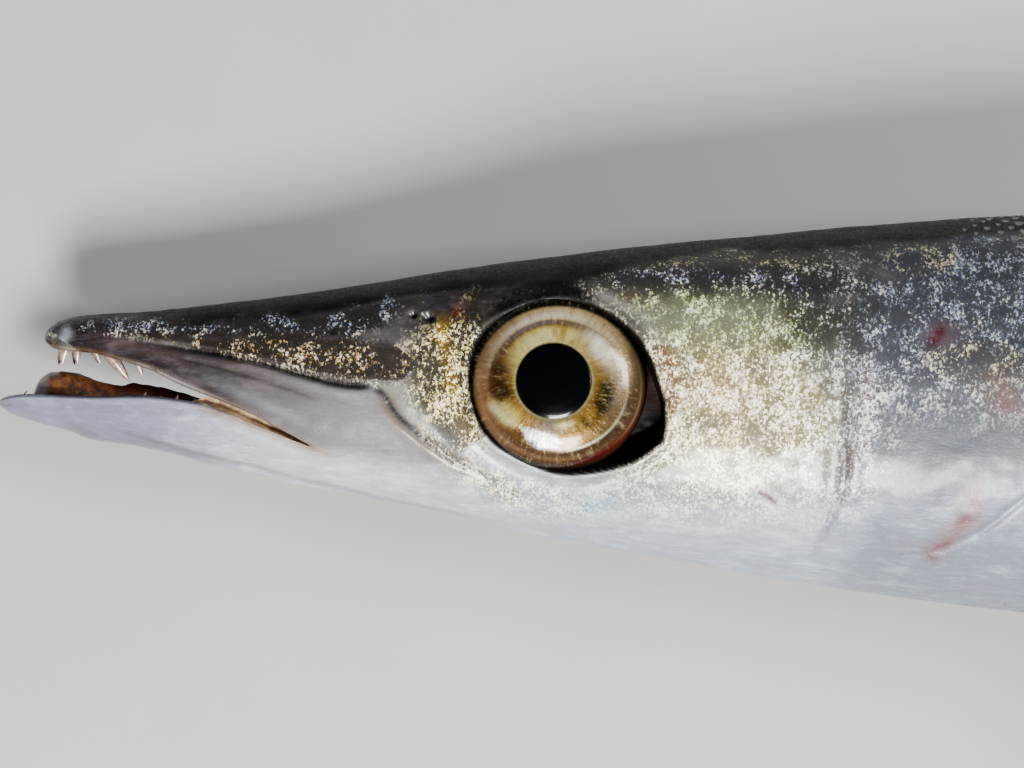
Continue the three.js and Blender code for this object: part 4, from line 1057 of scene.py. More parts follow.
def slab(grid):
    """Faces of a closed plate: a grid of points, as many again under it, and the walls between."""
    under = grid.size
    faces = [corners(grid).reshape(-1, 4), corners(grid).reshape(-1, 4)[:, ::-1] + under]
    for line, flip in ((grid[0], 1), (grid[-1], -1), (grid[:, 0], -1), (grid[:, -1], 1)):
        wall = np.stack([line[:-1], line[1:], line[1:] + under, line[:-1] + under], 1)
        faces.append(wall if flip > 0 else wall[:, ::-1])
    return np.vstack(faces)


# What a mesh keeps paints as, by how many numbers they have at each point.
PAINT_KINDS = {1: ("FLOAT", "value"), 3: ("FLOAT_VECTOR", "vector"), 4: ("FLOAT_COLOR", "color")}


def new_piece(name, points, faces, finish, paints, unwrap=None):
    """A mesh from points in metres and four-cornered faces, some with a doubled corner."""
    faces = np.asarray(faces)
    kept = faces != np.roll(faces, 1, 1)
    starts = np.r_[0, np.cumsum(kept.sum(1))[:-1]]
    mesh = bpy.data.meshes.new(name)
    mesh.vertices.add(len(points))
    mesh.vertices.foreach_set("co", np.ascontiguousarray(points, np.float32).ravel())
    mesh.loops.add(int(kept.sum()))
    mesh.loops.foreach_set("vertex_index", faces[kept].astype(np.int32))
    mesh.polygons.add(len(faces))
    mesh.polygons.foreach_set("loop_start", starts.astype(np.int32))
    mesh.update(calc_edges=True)
    mesh.polygons.foreach_set("use_smooth", np.ones(len(faces), bool))
    for key, values in paints.items():
        values = np.asarray(values, np.float32).reshape(len(points), -1)
        if key in COLOUR_PAINTS:
            values = np.hstack([values, np.ones((len(points), 1), np.float32)])
        kind, field = PAINT_KINDS[values.shape[1]]
        mesh.attributes.new(key, kind, "POINT").data.foreach_set(field, values.ravel())
    if unwrap is not None:
        layer = mesh.uv_layers.new(name="OFBake")
        layer.data.foreach_set("uv", np.ascontiguousarray(unwrap[kept], np.float32).ravel())
    mesh.materials.append(finish)
    mesh.validate()
    piece = bpy.data.objects.new(name, mesh)
    bpy.context.scene.collection.objects.link(piece)
    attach(piece, "root")
    return piece


SKIN_FINISH = skin_finish()
skin = Skin()
raised = skin.placed + skin.normal * relief(skin)[:, None]
raised[:, 2] = np.maximum(raised[:, 2], 0)
paints = paint(skin.s, skin.h, skin.w, (skin.zone > 0.5).astype(float))
paints["fish"] = np.stack([skin.s, skin.h, skin.w], 1)
skin_piece = new_piece("skin", raised / 1000, skin.faces, SKIN_FINISH, paints, skin.unwrap)
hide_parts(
    "head", "upper_jaw", "lower_jaw", "gill_cover_left", "gill_cover_right", "trunk_front",
    "trunk_rear", "tail_stem",
)


# Eyes: a blue-black pupil that bulges through a domed gold iris, and a copper rim that falls away.
EYE_PROFILE = [
    (0.0, 5.3), (1.3, 5.25), (2.5, 5.1), (3.4, 4.92), (3.86, 4.8), (3.97, 4.7), (4.08, 4.73), (4.3, 4.76),
    (4.8, 4.7), (5.4, 4.6), (6.0, 4.46), (6.6, 4.28), (7.2, 4.04), (7.7, 3.78), (8.2, 3.42), (8.6, 3.06),
    (8.9, 2.7), (9.15, 2.2), (9.35, 1.6), (9.5, 0.9), (9.55, 0.0), (9.3, -1.3), (8.3, -2.7), (6.5, -4.0),
    (4.0, -4.8), (1.6, -5.15), (0.0, -5.2),
]
# The widest knot of the profile parts the eye's front from its back.
EYE_WIDEST = 20
EYE_AROUND = 128
EYE_FRONT_RINGS = 96
EYE_BACK_RINGS = 17
PUPIL = 3.97
PUPIL_BLUE = tint("04060d")
PUPIL_RIM = tint("a19c76")
IRIS_GOLD = tint("a27f2c")
IRIS_YELLOW = tint("e6d276")
IRIS_PALE = tint("efe3a6")
IRIS_BRONZE = tint("3c2410")
IRIS_OLIVE = tint("2f2811")
IRIS_COPPER = tint("6e3a14")
IRIS_LAVENDER = tint("8d8283")
IRIS_HIGHLIGHT_CREAM = tint("fbf0d6")
RIM_COPPER = tint("967049")
RIM_ORANGE = tint("c29a74")
RIM_TAN = tint("e5c890")
RIM_BROWN = tint("523f2f")
RIM_RUST = tint("571a18")
RIM_DARK = tint("150d0a")


def eye_paint(x, y, noise, streak):
    """Colours of the eye, painted highlights among them, by millimetres from the pupil's middle, towards
    the tail and towards the back.
    """
    r = np.hypot(x, y)
    around = np.degrees(np.arctan2(y, x))
    q = blend(r, np.hypot(x - 0.4, (y + 0.5) / 0.93), smooth(r, 4.2, 7.5))
    tone, lay = layer(len(r), PUPIL_BLUE)
    drawn = Side(x, y)

    def sector(turn, spread):
        return hump((around - turn + 180) % 360 - 180, spread)

    iris = smooth(r, PUPIL - 0.05, PUPIL + 0.1)
    lay(IRIS_GOLD, iris)
    # Painted highlights on the inner ring's upper left.
    lay(IRIS_YELLOW, iris * smooth(-q, -6.6, -5.6) * sector(118, 62) * (0.75 + 1.5 * (streak - 0.45)))
    flare = smooth(streak + 0.4 * noise, 0.55, 0.75)
    lay(IRIS_PALE, iris * 0.95 * hump(q - 4.9, 0.8) * sector(108, 50) * flare)
    lay(RIM_BROWN, iris * 0.55 * smooth(q, 6.0, 6.7))
    lay(IRIS_LAVENDER, iris * 0.9 * hump(q - 6.9, 0.42) * sector(115, 42))
    lay(IRIS_COPPER, iris * 0.9 * hump(q - 5.6, 1.5) * sector(186, 38) * (0.7 + 0.9 * (streak - 0.3)))
    lay(IRIS_BRONZE, iris * 0.75 * hump(q - 6.0, 1.0) * sector(182, 28) * (0.6 + 1.2 * (streak - 0.3)))
    lay(IRIS_BRONZE, 0.95 * drawn.spot(-5.2, -1.4, 1.15, 1.0) + 0.75 * drawn.spot(-5.9, 0.9, 1.0, 0.7))
    lay(IRIS_OLIVE, iris * hump(q - 5.5, 0.95) * sector(-22, 40) * (1.0 + 1.1 * (streak - 0.3)))
    lay(IRIS_GOLD, iris * hump(q - 5.0, 0.5) * sector(-28, 34) * smooth(noise, 0.5, 0.65) * 0.8)
    lay(IRIS_LAVENDER, iris * 0.75 * smooth(-q, -5.9, -5.2) * sector(-94, 20))
    lay(IRIS_PALE, 0.85 * drawn.spot(1.2, -4.55, 0.85, 0.4, 12))
    # A painted highlight on the ring's upper right.
    lay(IRIS_HIGHLIGHT_CREAM, iris * 1.2 * hump(q - 6.2, 1.15) * sector(38, 21) * (0.65 + 0.7 * noise))
    lay(IRIS_LAVENDER, iris * 0.4 * hump(q - 6.5, 0.5) * sector(-10, 35) * (0.5 + streak))
    outer = smooth(q, 7.0, 7.5)
    lay(RIM_BROWN, outer * 0.9)
    lay(RIM_COPPER, outer * 0.95 * sector(190, 48))
    lay(RIM_TAN, outer * sector(88, 56) * (0.9 + 0.3 * noise))
    # A painted highlight along the top of the rim.
    lay(IRIS_HIGHLIGHT_CREAM, outer * 0.9 * hump(q - 7.8, 0.55) * sector(104, 46))
    lay(RIM_ORANGE, 0.5 * hump(q - 8.3, 0.3) * (sector(200, 55) + sector(-80, 40)) * (0.6 + 0.7 * streak))
    # A thin painted highlight low on the right.
    lay(IRIS_HIGHLIGHT_CREAM, 0.75 * hump(q - 7.3, 0.13) * sector(-50, 34))
    lay(RIM_ORANGE, 0.55 * hump(q - 8.65, 0.1) * sector(-15, 45))
    # Painted highlights low on the left: a yellow glint, a pale streak, and a white gleam with spots of
    # blood on it.
    glint = drawn.stroke([(-5.6, -2.2), (-4.6, -3.4), (-3.2, -4.3)], 0.7, 0.3)
    lay(IRIS_YELLOW, 0.85 * glint * (0.5 + streak))
    lay(IRIS_PALE, drawn.stroke([(-7.0, -1.9), (-6.0, -3.2), (-4.7, -4.3), (-3.2, -4.8)], 0.55, 0.3))
    lay(RIM_RUST, 0.95 * hump(q - 8.8, 0.5) * sector(-56, 34))
    lay(RIM_DARK, smooth(q, 8.75, 9.15) * (1 - 0.65 * hump(q - 8.95, 0.4) * sector(-52, 30)))
    gleam = [(-3.4, -4.9), (-1.6, -5.2), (0.7, -5.9), (0.6, -6.9), (-1.4, -7.1), (-2.7, -6.2)]
    lay(WHITE, 0.97 * drawn.area(gleam, 0.3))
    for at_x, at_y, size in ((-3.3, -5.7, 0.34), (-2.0, -6.5, 0.22), (0.35, -6.6, 0.24), (-2.9, -6.2, 0.2)):
        lay(BLOOD, 0.85 * drawn.spot(at_x, at_y, size * 1.4, size, -20))
    lay(PUPIL_RIM, iris * 0.9 * hump(r - 4.12, 0.13))
    return tone


def eye_finish():
    """A fibrous gold iris and a blue-black pupil under a wet clear coat."""
    eye = Finish("wet_eye")
    fish, iris, clear = eye.place(), eye.painted("iris"), eye.painted("clear")
    fibres = eye.noise(eye.place("polar"), 2.6, 5, 0.7)
    tone = eye.mix(iris * (1 - fibres.between(0.3, 0.52)) * 0.42, eye.painted("tone"), tint("2c1c0b"))
    tone = eye.mix(iris * fibres.between(0.52, 0.8) * 0.22, tone, tint("e8d59a"))
    shine = eye.noise(fish, 3.2, 3, 0.6)
    tone = eye.mix(iris * shine.between(0.56, 0.8) * 0.07, tone, tint("f7edc4"))
    normal = eye.bump((fibres * 0.6 + shine * 0.4) * iris, 0.00008, 0.7)
    return eye.surface(
        base_color=tone, metallic=iris * 0.5, roughness=0.7 - clear * 0.5 + iris * 0.08, normal=normal,
        coat_weight=clear * 0.75, coat_roughness=0.13, coat_ior=1.33, specular_ior_level=0.0,
    )


def eyeball(name, side):
    """A domed eyeball from its profile, turned to lie in its pocket."""
    around = EYE_AROUND
    profile = np.array(EYE_PROFILE)
    run = np.r_[0, np.cumsum(np.hypot(*np.diff(profile, axis=0).T))]
    # More rings on the front, where the pupil's edge and the ridge are.
    front_run = np.linspace(0, run[EYE_WIDEST], EYE_FRONT_RINGS)
    rings = np.r_[front_run, np.linspace(run[EYE_WIDEST], run[-1], EYE_BACK_RINGS)[1:]][1:-1]
    r, z = np.interp(rings, run, profile[:, 0]), np.interp(rings, run, profile[:, 1])
    z[1:-1] = np.convolve(z, np.array([1, 2, 1]) / 4, "same")[1:-1]
    turn = np.arange(around) * 2 * np.pi / around
    grid_r = np.r_[np.repeat(r, around), 0, 0]
    grid_t = np.r_[np.tile(turn, len(r)), 0, 0]
    grid_z = np.r_[np.repeat(z, around), profile[0, 1], profile[-1, 1]]
    flat = np.stack([grid_r * np.cos(grid_t), grid_r * np.sin(grid_t), grid_z], 1)
    noise = cloud(flat, 1.1, 11)
    polar = np.stack([grid_r * 0.35, np.cos(grid_t) * 7, np.sin(grid_t) * 7], 1)
    streak = 0.65 * cloud(polar, 0.8, 12) + 0.35 * cloud(polar, 0.35, 13)
    front = flat[:, 2] > 0
    ridges = 0.05 * (streak - 0.5) + 0.03 * (noise - 0.5)
    flat[:, 2] += np.where(front & (grid_r > 4.2) & (grid_r < 9), ridges, 0)
    tone = wetted(eye_paint(flat[:, 0], flat[:, 1], noise, streak), 0.5, 0.95)
    tone[~front] = 0.5 * RIM_DARK
    w = side * (flank(EYE["s"], EYE["h"]) - EYE["sunk"])
    centre = to_frame(EYE["s"], EYE["h"], w) * 1000
    pitch, yaw = -side * EYE["tilt"], -side * EYE["yaw"]
    spin = Matrix.Rotation(pitch, 3, "X") @ Matrix.Rotation(yaw, 3, "Y")
    flat[:, 2] *= side
    points = flat @ np.array(spin).T + centre
    points[:, 2] = np.maximum(points[:, 2], 0)
    ring = np.arange(around)
    after = (ring + 1) % around
    faces = []
    for near in range(0, (len(r) - 1) * around, around):
        far = near + around
        faces.append(np.stack([near + ring, far + ring, far + after, near + after], 1))
    hub = len(r) * around
    faces.append(np.stack([np.full(around, hub), ring, after, after], 1))
    last = hub - around
    faces.append(np.stack([np.full(around, hub + 1), last + after, last + ring, last + ring], 1))
    faces = np.vstack(faces)
    if side < 0:
        faces = faces[:, ::-1]
    iris = smooth(grid_r, PUPIL - 0.1, PUPIL + 0.3) * smooth(-grid_r, -9.2, -8.6)
    clear = smooth(-grid_r, -9.3, -8.8) * front
    paints = {"tone": tone, "iris": iris, "clear": clear, "fish": flat, "polar": polar}
    piece = new_piece(name.replace("eye", "eyeball"), points / 1000, faces, EYE_FINISH, paints)
    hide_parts(name)


EYE_FINISH = eye_finish()
eyeball("eye_left", 1)
eyeball("eye_right", -1)


# Forms inside the mouth: teeth, tongue, and the skin at its corners.
def tube(rings):
    """Faces of a closed skin through rings of points, with a fan over each end."""
    rings = np.asarray(rings)
    count, around = rings.shape[:2]
    points = np.vstack([rings.reshape(-1, 3), rings[0].mean(0), rings[-1].mean(0)])
    ring = np.arange(around)
    after = (ring + 1) % around
    faces = []
    for near in range(0, (count - 1) * around, around):
        far = near + around
        faces.append(np.stack([near + ring, near + after, far + after, far + ring], 1))
    hub = count * around
    faces.append(np.stack([np.full(around, hub), after, ring, ring], 1))
    last = hub - around
    faces.append(np.stack([np.full(around, hub + 1), last + ring, last + after, last + after], 1))
    faces = np.vstack(faces)
    return points, faces[:, ::-1] if inside_out(points, faces) else faces


def together(parts):
    """Several (points, faces) as one."""
    points, faces, count = [], [], 0
    for part_points, part_faces in parts:
        points.append(part_points)
        faces.append(part_faces + count)
        count += len(part_points)
    return np.vstack(points), np.vstack(faces)


TOOTH_ROOT = 0.9
TOOTH_HOOK = 0.25


def fang(s, h, w, length, lean, radius, inward=0.0):
    """A tooth from its root in the gum to a tip that leans, flattened and a little hooked."""
    t = np.linspace(0, 1, 12)
    size = math.hypot(lean, length)
    way = np.array([lean / size, length / size, inward])
    along = (t * (abs(length) + TOOTH_ROOT) - TOOTH_ROOT)[:, None] * way
    along[:, 0] += TOOTH_HOOK * radius * 3 * (t**2 - t)
    thick = radius * (1 - 0.96 * t**2.4)
    turn = np.linspace(0, 2 * np.pi, 14, endpoint=False)
    rings = []
    for step, r in zip(along, thick):
        ring_s = s + step[0] + r * 1.1 * np.cos(turn)
        ring_w = w + step[2] + r * 0.85 * np.sin(turn)
        rings.append(np.stack([ring_s, h + step[1] + 0 * turn, ring_w], 1))
    return tube(rings)


def tooth_pairs(rows, lip, half):
    """Teeth in pairs. The right ones stand a little further forward, as the rows never quite match."""
    made = []
    for s, inside, length, lean, radius in rows:
        for side, at in ((1, s), (-1, s - 0.8)):
            w = side * (half(at) - inside)
            made.append(fang(at, lip(at), w, length, lean, radius, -0.1 * side))
    return made


def flesh_finish(name, shadow, light, scale, rough, coat, deep=0.00015):
    """Wet mottled flesh or enamel between two tones."""
    flesh = Finish(name)
    fish = flesh.place()
    clouds = flesh.noise(fish, scale, 5, 0.62)
    tone = flesh.mix(clouds.between(0.35, 0.68), shadow, light)
    pits = flesh.cells(fish, scale * 2.4)
    tone = flesh.mix((1 - pits.between(0.0, 0.35)) * 0.35, tone, light)
    root = flesh.painted("root")
    tone = flesh.mix(root * 0.8, tone, MOUTH_RED)
    tone = flesh.mix(flesh.painted("pallor") * 0.75, tone, tint("77727a"))
    normal = flesh.bump(clouds * 0.7 + pits * 0.3, deep, 0.8)
    return flesh.surface(
        base_color=tone, roughness=rough + clouds * 0.15, normal=normal, coat_weight=coat,
        coat_roughness=0.08,
    )


def flesh_piece(name, parts, finish, root, pallor=lambda s: 0 * s):
    """A piece of closed parts. Its root is where it reddens, and its pallor where it greys."""
    points, faces = together(parts)
    s, h, w = points.T
    paints = {"fish": points, "root": root(s, h), "pallor": pallor(s)}
    return new_piece(name, to_frame(s, h, w), faces, finish, paints)


ENAMEL = flesh_finish("tooth_enamel", tint("58453b"), tint("8c7667"), 1.1, 0.2, 0.7, 0.00003)
TONGUE_FLESH = flesh_finish("tongue_flesh", tint("241009"), tint("5f3818"), 1.0, 0.3, 0.7)
LIP_FLESH = flesh_finish("lip_flesh", tint("6e5136"), tint("a08058"), 0.8, 0.3, 0.6)

# Pairs of teeth: station, how far inside the lip, length, lean towards the tail, and radius.
UPPER_TEETH = [
    (2.7, 0.9, -2.0, -0.5, 0.5), (4.0, 0.9, -1.8, -0.1, 0.44), (5.9, 1.1, -1.5, 0.6, 0.44),
    (7.6, 1.5, -3.5, 2.6, 0.84), (10.6, 1.3, -1.6, 0.6, 0.46), (13.2, 0.9, -0.5, 0.1, 0.3),
    (15.4, 0.9, -0.5, 0.1, 0.3), (17.4, 0.9, -0.5, 0.1, 0.3),
]
LOWER_TEETH = [
    (11.4, 1.0, 0.75, 0.2, 0.36), (14.9, 1.0, 0.75, 0.2, 0.36), (16.8, 1.0, 0.75, 0.2, 0.36),
    (8.6, 1.0, 0.4, 0.1, 0.26), (13.2, 1.0, 0.4, 0.1, 0.26),
]
upper_teeth = tooth_pairs(UPPER_TEETH, upper_lip, upper_half)
lower_teeth = [fang(-2.0, -7.3, 0.0, 1.0, 0.3, 0.42), *tooth_pairs(LOWER_TEETH, lower_lip, lower_half)]
flesh_piece(
    "teeth_upper", upper_teeth, ENAMEL,
    root=lambda s, h: smooth(h - upper_lip(s), -0.7, 0.2),
)
flesh_piece(
    "teeth_lower", lower_teeth, ENAMEL,
    root=lambda s, h: smooth(lower_lip(s) - h, -0.6, 0.1),
)

TONGUE_TOP = through([
    (-1, -6.6), (-0.4, -5.2), (0.8, -4.2), (2.6, -3.9), (4.8, -4.5), (7.2, -5.2), (10, -5.0), (13, -5.3),
    (17, -6.2), (20, -7.0), (26, -9.2),
])
TONGUE_HALF = through([(-1, 0.4), (0.8, 1.5), (3, 2.0), (8, 2.1), (16, 2.6), (26, 1.4)])


def tongue_rings():
    """Rings of a lumpy tongue, furrowed along its middle, on the floor of the mouth."""
    s = np.r_[np.linspace(-1, 8, 60), np.linspace(8, 26, 60)[1:]]
    section = lower_jaw_section(s)
    arch = FLOOR_ARCH * (section[4] - section[3]) * rounded(s - JAW_TIP, 8)
    low = section[4] - arch * 0.9 + 0.45
    mid = blend(low, TONGUE_TOP(s), 0.35)
    turn = np.linspace(0, 2 * np.pi, 48, endpoint=False)
    rings = []
    for i, at in enumerate(s):
        rise = np.where(np.cos(turn) >= 0, TONGUE_TOP(at) - mid[i], mid[i] - low[i])
        ring = np.stack([at + 0 * turn, mid[i] + rise * np.cos(turn), TONGUE_HALF(at) * np.sin(turn)], 1)
        lump = cloud(ring, 1.5, 21) - 0.5 + 0.4 * (cloud(ring, 0.6, 22) - 0.5)
        ring[:, 1] += 0.3 * lump * np.maximum(np.cos(turn), 0)
        ring[:, 1] -= 0.35 * hump(ring[:, 2], 0.35) * (np.cos(turn) > 0) * smooth(at, 0.5, 3)
        rings.append(ring)
    return rings


tongue = flesh_piece(
    "tongue_flesh", [tube(tongue_rings())], TONGUE_FLESH,
    root=lambda s, h: 0.75 * smooth(s, 5, 11), pallor=lambda s: smooth(-s, -1.1, 0.3),
)
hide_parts("tongue")


def mouth_corner(side):
    """The thin skin that joins both lips in front of the corner, a little sunk and creased."""
    s = np.linspace(15.6, CORNER + 0.6, 90)
    upper, lower = upper_jaw_section(s), lower_jaw_section(s)
    top_h, top_w = outline(upper, angle_at(upper, upper[4]))
    low_h, low_w = outline(lower, angle_at(lower, lower[4]))
    across = np.linspace(0, 1, 14)
    reach = smooth(s, 15.0, 20.5)[:, None] * across
    h = blend(low_h[:, None] - 0.25, top_h[:, None] + 0.25, reach)
    w = blend(low_w[:, None], top_w[:, None], reach) - 0.5 - 0.35 * np.sin(np.pi * across)
    folds = np.stack([s[:, None] * 0.35 + 0 * h, h * 2.2, 0 * h], -1).reshape(-1, 3)
    w = w + 0.14 * (cloud(folds, 0.9, 23).reshape(h.shape) - 0.5)
    rings = []
    for i in range(len(s)):
        front = np.stack([s[i] + 0 * across, h[i], side * w[i]], 1)
        rear = front - [0, 0, side * 0.35]
        rings.append(np.vstack([front, rear[::-1]]))
    return tube(rings)


flesh_piece(
    "mouth_corners", [mouth_corner(1), mouth_corner(-1)], LIP_FLESH,
    root=lambda s, h: 0.5 * smooth(-s, -20, -16),
)


# Fins: soft membranes over branching rays, in the places of the solids' fins.
def along_ridge(first, last, line, gap):
    """The root of a fin along the line of the back or the belly."""
    root = [(u, blend(first, last, u)) for u in (0, 0.33, 0.67, 1)]
    return [(u, s, line(s) + gap) for u, s in root]


# Each fin's root and tip as (share across its rays, station, height), and how far its rays bow.
FIRST_DORSAL = {
    "root": along_ridge(138, 166, back, -0.8), "bow": 1.2,
    "tip": [(0, 154.5, 45.6), (0.25, 163, 46.2), (0.5, 169, 41.5), (0.75, 173, 35), (1, 175.5, 28.5)],
}
SECOND_DORSAL = {
    "root": along_ridge(229, 262, back, -0.8), "bow": 1.4,
    "tip": [(0, 247, 38.0), (0.12, 252, 37.0), (0.35, 256, 29.5), (0.65, 262, 22.0), (1, 275, 15.5)],
}
ANAL = {
    "root": along_ridge(235, 267, belly, 0.8), "bow": 1.4,
    "tip": [(0, 253, -45.5), (0.12, 258, -44.0), (0.35, 262, -36.5), (0.65, 268, -29.0), (1, 281, -22.5)],
}
TAIL_ROOT = 334.0
TAIL_MIDDLE = -4.3
TAIL_UPPER = {
    "root": [(0, TAIL_ROOT, 5.2), (1, TAIL_ROOT, TAIL_MIDDLE + 0.05)], "bow": 2.4, "fading": True,
    "tip": [
        (0, 392, 31), (0.15, 386.5, 26.5), (0.35, 374, 16.5), (0.6, 362, 6.5), (0.85, 355.5, -1.2),
        (1, 353.5, -4.2),
    ],
}
TAIL_LOWER = {
    "root": [(0, TAIL_ROOT, -13.8), (1, TAIL_ROOT, TAIL_MIDDLE - 0.05)], "bow": 2.4, "fading": True,
    "tip": [
        (0, 391, -38), (0.15, 385.5, -33.5), (0.35, 373, -24), (0.6, 361.5, -14.5), (0.85, 355.3, -7.2),
        (1, 353.5, -4.4),
    ],
}
PECTORAL_LEFT = {
    "root": [(0, 109.6, -8.4), (1, 111.6, -13.6)], "bow": 0.8,
    "tip": [(0, 148.5, -9.6), (0.35, 151, -12.8), (0.7, 144, -17.4), (1, 131, -19.4)],
}
PECTORAL_RIGHT = {
    "root": [(0, 111.0, -13.0), (1, 112.4, -17.4)], "bow": 0.8,
    "tip": [(0, 147, -26), (0.35, 147, -30.5), (0.7, 139, -34), (1, 128, -33.5)],
}
PELVIC_ROOT = {"s": 125.5, "run": 3.0, "outer": 5.6, "inner": 2.4}


def fin_span(root, tip, bow, fading=False):
    """Station and height of a fin's points, u across its rays and v from root to tip."""
    root_s, root_h = through([(k[0], k[1]) for k in root]), through([(k[0], k[2]) for k in root])
    tip_s, tip_h = through([(k[0], k[1]) for k in tip]), through([(k[0], k[2]) for k in tip])

    def at(u, v):
        swell = 4 * v * (1 - v) * bow * ((1 - u) ** 1.5 if fading else 1)
        ds, dh = tip_s(u) - root_s(u), tip_h(u) - root_h(u)
        length = np.maximum(np.hypot(ds, dh), 1)
        s = blend(root_s(u), tip_s(u), v) - swell * np.abs(dh) / length
        return s, blend(root_h(u), tip_h(u), v) + np.sign(dh) * swell * ds / length

    return at


def fin_finish():
    """Dusky clear skin between dark jointed rays, silvery where a fin grows out of the body."""
    fin = Finish("wet_fin")
    fish = fin.place()
    ray, tip = fin.painted("ray"), fin.painted("tip")
    smoke = fin.noise(fish, 0.25, 4, 0.55)
    film = fin.noise(fin.stretched(fish, 1.0, 1.0, 0.4), 1.3, 5, 0.65)
    web = fin.mix(smoke.between(0.35, 0.65), tint("2f2d24"), tint("45422f"))
    web = fin.mix(film.between(0.5, 0.75) * 0.4, web, tint("5a584b"))
    web = fin.mix(tip * 0.7, web, tint("171613"))
    rods = fin.mix(fin.noise(fish, 1.1, 3).between(0.35, 0.65), tint("0f0d08"), tint("241e12"))
    tone = fin.mix(ray * 0.85, web, rods)
    joints = fin.noise(fin.place("weave"), 1.6, 2, 0.4)
    tone = fin.mix(ray * joints.between(0.5, 0.62) * 0.4, tone, tint("665d40"))
    tone = fin.mix(fin.painted("dusk") * 0.8, tone, tint("100f0e"))
    tone = fin.mix(fin.painted("silver") * (0.75 - ray * 0.2), tone, tint("6a6e74"))
    creases = fin.noise(fin.stretched(fish, 0.5, 2.2, 1), 1.4, 4)
    normal = fin.bump(creases * 0.5 + joints * ray * 0.6, 0.0001, 0.8)
    return fin.surface(
        base_color=tone, roughness=0.34 + smoke * 0.15, metallic=ray * 0.15, normal=normal, coat_weight=0.4,
        coat_roughness=0.14,
    )


FIN_FINISH = fin_finish()
RAY_COLUMNS = 10
FIN_ROWS = 56
RAY_THICK = 0.95
RAY_END = 0.36
WEB_THICK = 0.5
WEB_EDGE = 0.26
NUDGE = 1e-3


def fin_piece(
    name, centre, rays, notch, dusk, shaded=None, spiny=False, root_thick=RAY_THICK, silver=0.1,
):
    """A fin as one closed sheet: rays stand out of both faces, and split towards the edge unless spiny."""
    columns = (rays - 1) * RAY_COLUMNS + 1
    u, v = np.meshgrid(np.linspace(0, 1, columns), np.linspace(0, 1, FIN_ROWS), indexing="ij")
    gap = np.abs(u * (rays - 1) - np.round(u * (rays - 1)))
    split = 0.0 if spiny else 0.23 * smooth(v, 0.35, 1.0)
    ridge = hump(np.abs(gap - split), 0.13 if spiny else 0.12 - 0.03 * smooth(v, 0.5, 1))
    edge = hump(gap, 0.22) if spiny else hump(np.abs(gap - 0.23), 0.16)
    out = v * (1 - notch * (1 - edge) * smooth(v, 0.2, 1))

    def placed(u, v):
        return np.stack(centre(np.clip(u, 0, 1), np.clip(v, 0, 1)), -1)

    across = placed(u + NUDGE, out) - placed(u - NUDGE, out)
    outward = placed(u, out + NUDGE) - placed(u, out - NUDGE)
    normal = np.cross(across, outward)
    normal /= np.maximum(np.linalg.norm(normal, axis=-1, keepdims=True), 1e-9)
    rod = blend(blend(root_thick, RAY_THICK, np.minimum(v * 5, 1)), RAY_END, v**1.5)
    web = blend(WEB_THICK, WEB_EDGE, v**1.2) * np.where(v < 0.1, 1 + 0.5 * (0.1 - v) / 0.1, 1)
    thick = web + (np.maximum(rod, web) - web) * ridge
    waves = cloud(np.stack([u * rays, v * 3, 0 * u], -1).reshape(-1, 3), 0.9, 31).reshape(u.shape)
    point = placed(u, out) + normal * (0.12 * (waves - 0.5) * smooth(v, 0.1, 0.4))[..., None]
    both = np.vstack([(point + normal * side * thick[..., None] / 2).reshape(-1, 3) for side in (1, -1)])
    both[:, 2] = np.maximum(both[:, 2], 0)
    faces = slab(np.arange(u.size).reshape(u.shape))
    if inside_out(both, faces):
        faces = faces[:, ::-1]

    length = np.hypot(*(np.array(centre(0.5, 1.0))[:2] - np.array(centre(0.5, 0.0))[:2]))
    u, v, ridge = (np.tile(values.ravel(), 2) for values in (u, v, ridge))
    paints = {
        "fish": both, "ray": ridge, "tip": smooth(v, 0.55, 1.1) * 0.6,
        "weave": np.stack([u * 0.2 * rays, v * length * 1.1, 0 * u], 1),
        "dusk": dusk * (smooth(v, 0.45, 1.0) if shaded is None else shaded(u, v)),
        "silver": smooth(-v, -silver, -0.2 * silver),
    }
    points = (both - np.array([SHIFT_S, SHIFT_H, 0])) / 1000
    piece = new_piece(name.replace("_fin", "_fin_sheet"), points, faces, FIN_FINISH, paints)
    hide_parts(name)


def middle_fin(facts, sag):
    """The middle sheet of a fin on the fish's ridge, which sags towards the floor."""
    span = fin_span(**facts)

    def centre(u, v):
        s, h = span(u, v)
        return s, h, middle(np.minimum(s, STEM_END)) - sag * np.asarray(v) ** 2 + 0 * s

    return centre


def tail_fin(facts):
    """The middle sheet of a lobe of the tail, which runs down to the floor."""
    span = fin_span(**facts)
    lie = through([(334, 3.25), (345, 1.9), (356, 0.9), (400, 0.55)])

    def centre(u, v):
        s, h = span(u, v)
        return s, h, lie(s)

    return centre


def left_pectoral(u, v):
    s, h = fin_span(**PECTORAL_LEFT)(u, v)
    return s, h, middle(s) + flank(s, h) + 0.65 - 0.75 * (1 - smooth(v, 0, 0.2)) + 1.6 * np.asarray(v) ** 2


def right_pectoral(u, v):
    s, h = fin_span(**PECTORAL_RIGHT)(u, v)
    return s, h, 0.42 + 0 * s


